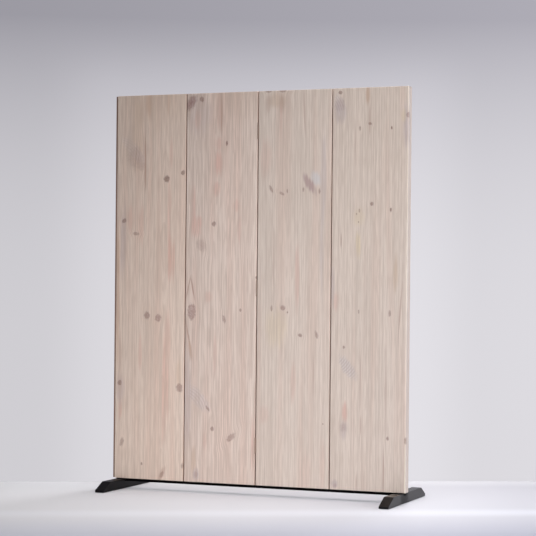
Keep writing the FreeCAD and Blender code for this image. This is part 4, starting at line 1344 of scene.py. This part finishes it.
@dataclass(frozen=True)
class CrossScrew:
    """A countersunk wood screw with a cross recess, standing on its head, point up."""

    head_radius: float
    shank_radius: float
    length: float
    sides: int = 24
    point_share: float = 0.12
    recess_share: float = 0.62
    recess_width: float = 0.22
    recess_taper: float = 0.55
    recess_in_cone: float = 0.9      # its depth, as shares of the cone's height and of the shank's radius
    recess_in_shank: float = 0.3
    smooth_angle: float = 30.0

    def model(self, name: str) -> Piece:
        """Model the screw at the origin.

        Args:
            name: The piece's name.

        Returns:
            The screw.
        """
        Bench.clear()
        cone = self.head_radius - self.shank_radius
        shank = self.length - self.shank_radius
        bpy.ops.mesh.primitive_cylinder_add(vertices=self.sides, radius=self.shank_radius, depth=shank,
                                            location=(0, 0, shank / 2))
        piece = Bench.take_new(name)
        # The head: the lower rim is moved up to the cone's neck, then pushed out to the head's edge.
        self._end(piece, top=False)
        bpy.ops.transform.translate(value=(0, 0, cone))
        self._extrude(-cone, self.head_radius / self.shank_radius, 0.0)
        # The point.
        self._end(piece, top=True)
        self._extrude(self.shank_radius, self.point_share, self.length)
        self._cut_recess(piece)
        Bench.finish(piece, [], self.smooth_angle)
        return piece

    @staticmethod
    def _end(piece: Piece, top: bool) -> None:
        """Enter edit mode with one end face selected.

        Args:
            piece: The screw.
            top: Whether it is the upper end.
        """
        heights = [face.center.z for face in piece.data.polygons]
        height = max(heights) if top else min(heights)
        Bench.select(piece, "FACE",
                     lambda face: abs(face.center.z - height) < SAME and abs(face.normal.z) > FACING)

    @staticmethod
    def _extrude(rise: float, widen: float, height: float) -> None:
        """Extrude the selected end, widen or narrow it and leave edit mode.

        Args:
            rise: How far up it goes.
            widen: The factor by which it gets wider.
            height: Where it is then.
        """
        bpy.ops.mesh.extrude_region_move(TRANSFORM_OT_translate={"value": (0, 0, rise)})
        bpy.ops.transform.resize(value=(widen, widen, 1), center_override=(0, 0, height))
        bpy.ops.object.mode_set(mode="OBJECT")

    def _cut_recess(self, piece: Piece) -> None:
        """Cut a tapered cross into the head.

        Args:
            piece: The screw.
        """
        reach = self.head_radius * self.recess_share
        half = self.head_radius * self.recess_width / 2
        cone = self.head_radius - self.shank_radius
        depth = cone * self.recess_in_cone + self.shank_radius * self.recess_in_shank
        for arm in (Vector((reach, half, 0)), Vector((half, reach, 0))):
            cutter = Bench.block("recess", Vector((-arm.x, -arm.y, -depth)), Vector((arm.x, arm.y, depth)))
            Bench.select(cutter, "FACE", lambda face: face.normal.z > FACING)
            bpy.ops.transform.resize(value=(self.recess_taper, self.recess_taper, 1),
                                     center_override=(0, 0, depth))
            bpy.ops.object.mode_set(mode="OBJECT")
            cut = piece.modifiers.new("recess", "BOOLEAN")
            cut.operation = "DIFFERENCE"
            cut.solver = "EXACT"
            cut.object = cutter
            Bench.pick(piece)
            bpy.ops.object.modifier_apply(modifier=cut.name)
            bpy.data.objects.remove(cutter)


@dataclass
class ScrewSet:
    """All the screws of one CAD node, as copies of one modelled screw."""

    node: str
    body: str
    slot: str
    screw: CrossScrew
    turn: Matrix
    places: Sequence[Vector]
    seed: int

    def build(self, material: Material) -> None:
        """Copy the screw to every place, each with its recess turned its own way, and join the copies.

        Args:
            material: The screws' finish.
        """
        draw = random.Random(self.seed)
        pattern = self.screw.model(f"{self.node}_cross_head")
        copies = [pattern]
        for _ in self.places[1:]:
            copy = pattern.copy()
            copy.data = pattern.data.copy()
            bpy.context.scene.collection.objects.link(copy)
            copies.append(copy)
        for copy, place in zip(copies, self.places):
            spin = Matrix.Rotation(draw.uniform(0, math.pi), 4, "Z")
            copy.data.transform(Matrix.Translation(place) @ self.turn @ spin)
        Bench.pick(pattern)
        for copy in copies:
            copy.select_set(True)
        bpy.ops.object.join()
        Bench.clear()
        dress(pattern, material)
        register(pattern, self.body, self.slot, self.node)


# ---------------------------------------------------------------- hinges and feet

@dataclass
class HingeLine:
    """The three butt hinges of one joint: plates and pins as built, screws with a cross recess."""

    number: int
    bronze: Material
    screw: CrossScrew = CrossScrew(0.0024, 0.0014, 0.016)
    rows: int = 3
    screws_per_plate: int = 3
    screw_pitch: float = 0.020

    def places(self, low: Vector, high: Vector, head_x: float) -> list[Vector]:
        """Work out where the screws' heads are from the box that holds them all.

        Args:
            low: The box's lowest corner.
            high: The box's highest corner.
            head_x: Which end of the box along X holds the heads.

        Returns:
            The middle of each head.
        """
        rim = self.screw.head_radius
        first, last = low.z + rim, high.z - rim
        span = self.screw_pitch * (self.screws_per_plate - 1)
        row_pitch = (last - first - span) / (self.rows - 1)
        depth = (low.y + high.y) / 2
        return [Vector((head_x, depth, first + row * row_pitch + screw * self.screw_pitch))
                for row in range(self.rows) for screw in range(self.screws_per_plate)]

    def build(self) -> None:
        """Dress the plates and pins and make the screws."""
        for side in ("left", "right"):
            dress_node(f"hinge_{self.number}_{side}_plates", self.bronze)
            node = f"hinge_{self.number}_{side}_screws"
            low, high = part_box(node)
            left = side == "left"
            turn = Matrix.Rotation(math.radians(-90 if left else 90), 4, "Y")
            body = f"leaf_{self.number if left else self.number + 1}"
            places = self.places(low, high, high.x if left else low.x)
            ScrewSet(node, body, "hinge_bronze", self.screw, turn, places, self.number).build(self.bronze)
        dress_node(f"hinge_{self.number}_pins", self.bronze)


@dataclass
class BaseStrip:
    """The black strip under one leaf and its countersunk screws."""

    number: int
    coat: Material
    steel: Material
    screw: CrossScrew = CrossScrew(0.0040, 0.0020, 0.032)
    count: int = 3

    def build(self) -> None:
        """Dress the strip and make its screws."""
        leaf = f"leaf_{self.number}"
        dress_node(f"{leaf}_base_strip", self.coat)
        node = f"{leaf}_strip_screws"
        low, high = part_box(node)
        rim = self.screw.head_radius
        pitch = (high.x - low.x - 2 * rim) / (self.count - 1)
        places = [Vector((low.x + rim + index * pitch, (low.y + high.y) / 2, low.z))
                  for index in range(self.count)]
        screws = ScrewSet(node, leaf, "dark_steel", self.screw, Matrix.Identity(4), places, self.number)
        screws.build(self.steel)


@dataclass
class Foot:
    """One foot: the lacquered bar, its rubber pads, screws and inserts."""

    side: str
    lacquer: Material
    rubber: Material
    steel: Material
    zinc: Material

    def build(self) -> None:
        """Dress the foot's nodes."""
        for part, material in (("foot", self.lacquer), ("foot_pads", self.rubber),
                               ("foot_screws", self.steel), ("foot_inserts", self.zinc)):
            dress_node(f"{self.side}_{part}", material)


# ---------------------------------------------------------------- studio

@dataclass(frozen=True)
class Lamp:
    """A square soft lamp: its place, the point it faces, its side, its watts and its beam in degrees."""

    name: str
    place: Triple
    aim: Triple
    size: float
    power: float
    spread: float = 180.0
    mirrored: bool = True            # whether glossy surfaces show it

    def hang(self) -> None:
        """Hang the lamp in the studio."""
        light = bpy.data.lights.new(self.name, "AREA")
        light.shape = "SQUARE"
        light.size = self.size
        light.energy = self.power
        light.spread = math.radians(self.spread)
        lamp = bpy.data.objects.new(self.name, light)
        lamp.visible_camera = False
        lamp.visible_glossy = self.mirrored
        bpy.context.scene.collection.objects.link(lamp)
        towards = (Vector(self.aim) - Vector(self.place)).to_track_quat("-Z", "Y")
        lamp.matrix_world = Matrix.Translation(self.place) @ towards.to_matrix().to_4x4()


# A soft lamp at the right, a soft pool from above, and weak fills in front and behind.
LAMPS = (
    Lamp("side_soft", (3.0, 0.0, 0.8), (0.6, 0.0, 0.8), 1.2, 33.3),
    Lamp("overhead", (0.5, -0.1, 3.2), (0.4, 0.0, 0.0), 1.8, 6.0, spread=60, mirrored=False),
    Lamp("floor_pool", (0.9, -0.9, 2.6), (0.4, -0.2, 0.0), 1.2, 4.5, spread=60, mirrored=False),
    Lamp("front_fill", (-0.2, -3.6, 0.5), (0.0, 0.0, 0.1), 1.0, 3.6, spread=50),
    Lamp("front_high", (-1.0, -3.4, 1.8), (0.0, 0.0, 1.20), 0.5, 0.25, spread=26, mirrored=False),
    Lamp("back_fill", (0.3, 2.6, 3.0), (0.2, 0.3, 0.0), 1.6, 13.1, spread=70),
)


@dataclass(frozen=True)
class Studio:
    """The pale floor, the plain background and the camera."""

    view_turn: float = 21.217        # degrees that the camera stands round to the right
    view_rise: float = 0.025
    view_roll: float = 0.529
    camera_place: Triple = (2.5024, -6.0625, 0.7894)
    lens: float = 114.8
    shift: tuple[float, float] = (-0.0524, 0.0373)
    floor_behind: float = 0.434      # from the origin to the floor's far edge
    floor_turn: float = 26.1
    floor_front: float = 6.0
    floor_half_width: float = 7.0
    floor_thickness: float = 0.02
    floor_roughness: float = 0.8
    floor_specular: float = 0.2
    # The floor's colour holds painted light at the left and painted shade at the right, against how the side
    # lamp lights it.
    floor_left: Colour = tone(217, 216, 220)
    floor_right: Colour = tone(183, 182, 190)
    floor_painted_shade: tuple[float, float] = (-0.95, 0.97)     # where, from left to right, painted shade turns the floor greyer
    far_painted_light: tuple[float, float] = (0.20, 0.42)        # where, towards its far edge, painted light makes it paler
    far_painted_light_share: float = 0.24
    far_painted_light_tone: Colour = tone(236, 234, 238)
    floor_fold: float = 0.55         # from the origin forward to the line of the painted fold
    fold_half: float = 0.14
    fold_highlight_share: float = 0.19
    fold_highlight_tone: Colour = tone(240, 243, 254)
    fall_start: float = 0.06         # how far in front of the fold its painted shade starts and ends
    fall_end: float = 0.62
    fall_shade_tone: Colour = (0.80, 0.82, 0.90, 1.0)
    wall_bright_at: float = -0.106   # the height of a look, as a share, at which the wall is at its brightest
    wall_dark_at: float = 0.155
    wall_fade: float = 3.7
    wall_bright: Colour = tone(215, 213, 218)
    wall_dark: Colour = tone(166, 164, 173)
    wall_half: float = 0.16          # how far to each side the wall keeps changing, and by how much
    wall_lift: float = 0.075
    wall_lift_high: float = 0.05     # what its dark top adds to that
    pool_at: float = -0.0197         # where, as a look to the right, and how far to each side the wall is lit
    pool_half: float = 0.086
    pool_side_fade: float = 0.044
    pool_top: float = 0.114
    pool_top_fade: float = 0.036
    pool_light: float = 0.095
    fill: float = 0.527              # the strength of the soft light from all sides
    room: Colour = tone(24, 23, 24)
    room_ends: tuple[float, float] = (-0.15, 0.35)       # where a look backwards goes from room to wall

    def camera(self) -> None:
        """Set up the camera."""
        lens = bpy.data.cameras.new("camera")
        lens.lens = self.lens
        lens.sensor_width = 36.0
        lens.shift_x, lens.shift_y = self.shift
        lens.clip_end = 100.0
        camera = bpy.data.objects.new("camera", lens)
        bpy.context.scene.collection.objects.link(camera)
        aim = Matrix.Rotation(math.radians(self.view_turn), 4, "Z")
        aim = aim @ Matrix.Rotation(math.radians(90 + self.view_rise), 4, "X")
        aim = aim @ Matrix.Rotation(math.radians(self.view_roll), 4, "Z")
        camera.matrix_world = Matrix.Translation(self.camera_place) @ aim
        bpy.context.scene.camera = camera

    def sideways(self, graph: Graph, x: Socket, y: Socket) -> Socket:
        """Measure how far a place lies, or a look is turned, to the camera's right.

        Args:
            graph: The graph to work in.
            x: The place or look along X.
            y: The place or look along Y.

        Returns:
            The distance or share to the right.
        """
        turn = math.radians(self.view_turn)
        return graph.times_plus(x, math.cos(turn), graph.times(y, math.sin(turn)))

    def floor(self) -> None:
        """Lay the pale floor: a broad sheet that ends in a straight edge behind the screen."""
        low = Vector((-self.floor_half_width, -self.floor_front, -self.floor_thickness))
        sheet = Bench.block("floor", low, Vector((self.floor_half_width, self.floor_behind, 0.0)))
        turn = math.radians(self.floor_turn)
        sheet.data.transform(Matrix.Rotation(turn, 4, "Z"))
        material, graph, shader = new_material("pale_floor")
        x, y, _ = graph.split(graph.object_place())
        # The sheet carries painted shade, greyer at the right where the side lamp stands, and painted light
        # at the left.
        share = graph.slope(self.sideways(graph, x, y), *self.floor_painted_shade, smooth=False)
        colour = graph.blend(share, self.floor_left, self.floor_right)
        # Its far edge gets painted light, a little paler, and its flat front gets a pale painted highlight
        # along a fold line and, beyond it, painted shade, darker and bluer, for a sheet's fall.
        along = graph.times_plus(y, math.cos(turn), graph.times(x, -math.sin(turn)))
        far_light = graph.slope(along, *self.far_painted_light, 0.0, self.far_painted_light_share)
        colour = graph.blend(far_light, colour, self.far_painted_light_tone)
        fold_highlight = graph.math("ABSOLUTE", graph.plus(along, self.floor_fold))
        fold_highlight = graph.slope(fold_highlight, 0.0, self.fold_half, self.fold_highlight_share, 0.0)
        colour = graph.blend(fold_highlight, colour, self.fold_highlight_tone)
        fall_shade = graph.slope(along, -self.floor_fold - self.fall_start, -self.floor_fold - self.fall_end,
                           smooth=False)
        colour = graph.vector("MULTIPLY", colour, graph.blend(fall_shade, WHITE, self.fall_shade_tone))
        graph.feed(shader["Base Color"], colour)
        shader["Roughness"].default_value = self.floor_roughness
        shader["Specular IOR Level"].default_value = self.floor_specular
        dress(sheet, material)

    def wall(self, graph: Graph, look: tuple[Socket, ...]) -> tuple[Socket, Socket]:
        """Colour the plain wall by the direction of a look.

        Args:
            graph: The world's graph.
            look: The direction, split into X, Y and Z.

        Returns:
            The wall's colour, and that colour with a pool of light on it.
        """
        # The wall is brightest low down, falls off quickly near the top, and is brighter on the right.
        rise = graph.slope(look[2], self.wall_bright_at, self.wall_dark_at, 0.0, 1.0, smooth=False)
        fade = graph.math("POWER", rise, self.wall_fade)
        aside = self.sideways(graph, look[0], look[1])
        across = graph.slope(aside, -self.wall_half, self.wall_half, -1.0, 1.0, smooth=False)
        lift = graph.times_plus(fade, self.wall_lift_high, self.wall_lift)
        wall = graph.blend(fade, self.wall_bright, self.wall_dark)
        wall = graph.scaled(wall, graph.times_plus(across, lift, 1.0))
        # A weak pool of light on it lies behind the screen and fades out a little beyond its outline.
        beside = graph.math("ABSOLUTE", graph.less(aside, self.pool_at))
        beside = graph.slope(beside, self.pool_half, self.pool_half + self.pool_side_fade, 1.0, 0.0)
        below = graph.slope(look[2], self.pool_top, self.pool_top + self.pool_top_fade, 1.0, 0.0)
        pool = graph.times_plus(graph.times(beside, below), self.pool_light, 1.0)
        return wall, graph.scaled(wall, pool)

    def background(self) -> None:
        """Set the plain grey background, the soft fill light and what gloss reflects."""
        world = bpy.data.worlds.new("studio")
        bpy.context.scene.world = world
        world.use_nodes = True
        graph = Graph(world.node_tree)
        look = graph.split(graph.add("ShaderNodeTexCoord").outputs["Generated"])
        wall, lit_wall = self.wall(graph, look)
        sky = world.node_tree.nodes["Background"]
        sky.inputs["Color"].default_value = WHITE
        sky.inputs["Strength"].default_value = self.fill
        # Gloss shows the wall only behind the screen and a dark room in front of it.
        mirrored = graph.blend(graph.slope(look[1], *self.room_ends), self.room, wall)
        path = graph.add("ShaderNodeLightPath")
        shown = sky.outputs[0]
        for ray, colour in (("Is Glossy Ray", mirrored), ("Is Camera Ray", lit_wall)):
            own = graph.work_out("ShaderNodeBackground", (colour,))
            shown = graph.work_out("ShaderNodeMixShader", (path.outputs[ray], shown, own))
        graph.feed(world.node_tree.nodes["World Output"].inputs["Surface"], shown)

    def build(self) -> None:
        """Set the whole studio up."""
        bpy.context.scene.view_settings.view_transform = "Standard"
        self.camera()
        self.floor()
        for lamp in LAMPS:
            lamp.hang()
        self.background()


def main() -> None:
    """Build the studio and the screen, sub-assembly by sub-assembly."""
    logging.basicConfig(level=logging.INFO, format="%(message)s")
    Studio().build()
    effects = Effects()
    coat = BLACK_COAT.build(effects)
    steel, zinc = DARK_STEEL.build(effects), ZINC.build(effects)
    bronze, rubber = BRONZE.build(effects), RUBBER.build(effects)
    for number in range(1, LEAF_COUNT + 1):
        Leaf(number, effects).build()
        BaseStrip(number, coat, steel).build()
    for number in range(1, JOINT_COUNT + 1):
        HingeLine(number, bronze).build()
    for side, lacquer in (("left", DULL_LACQUER), ("right", BLACK_LACQUER)):
        Foot(side, lacquer.build(effects), rubber, steel, zinc).build()


if __name__ == "__main__":
    main()
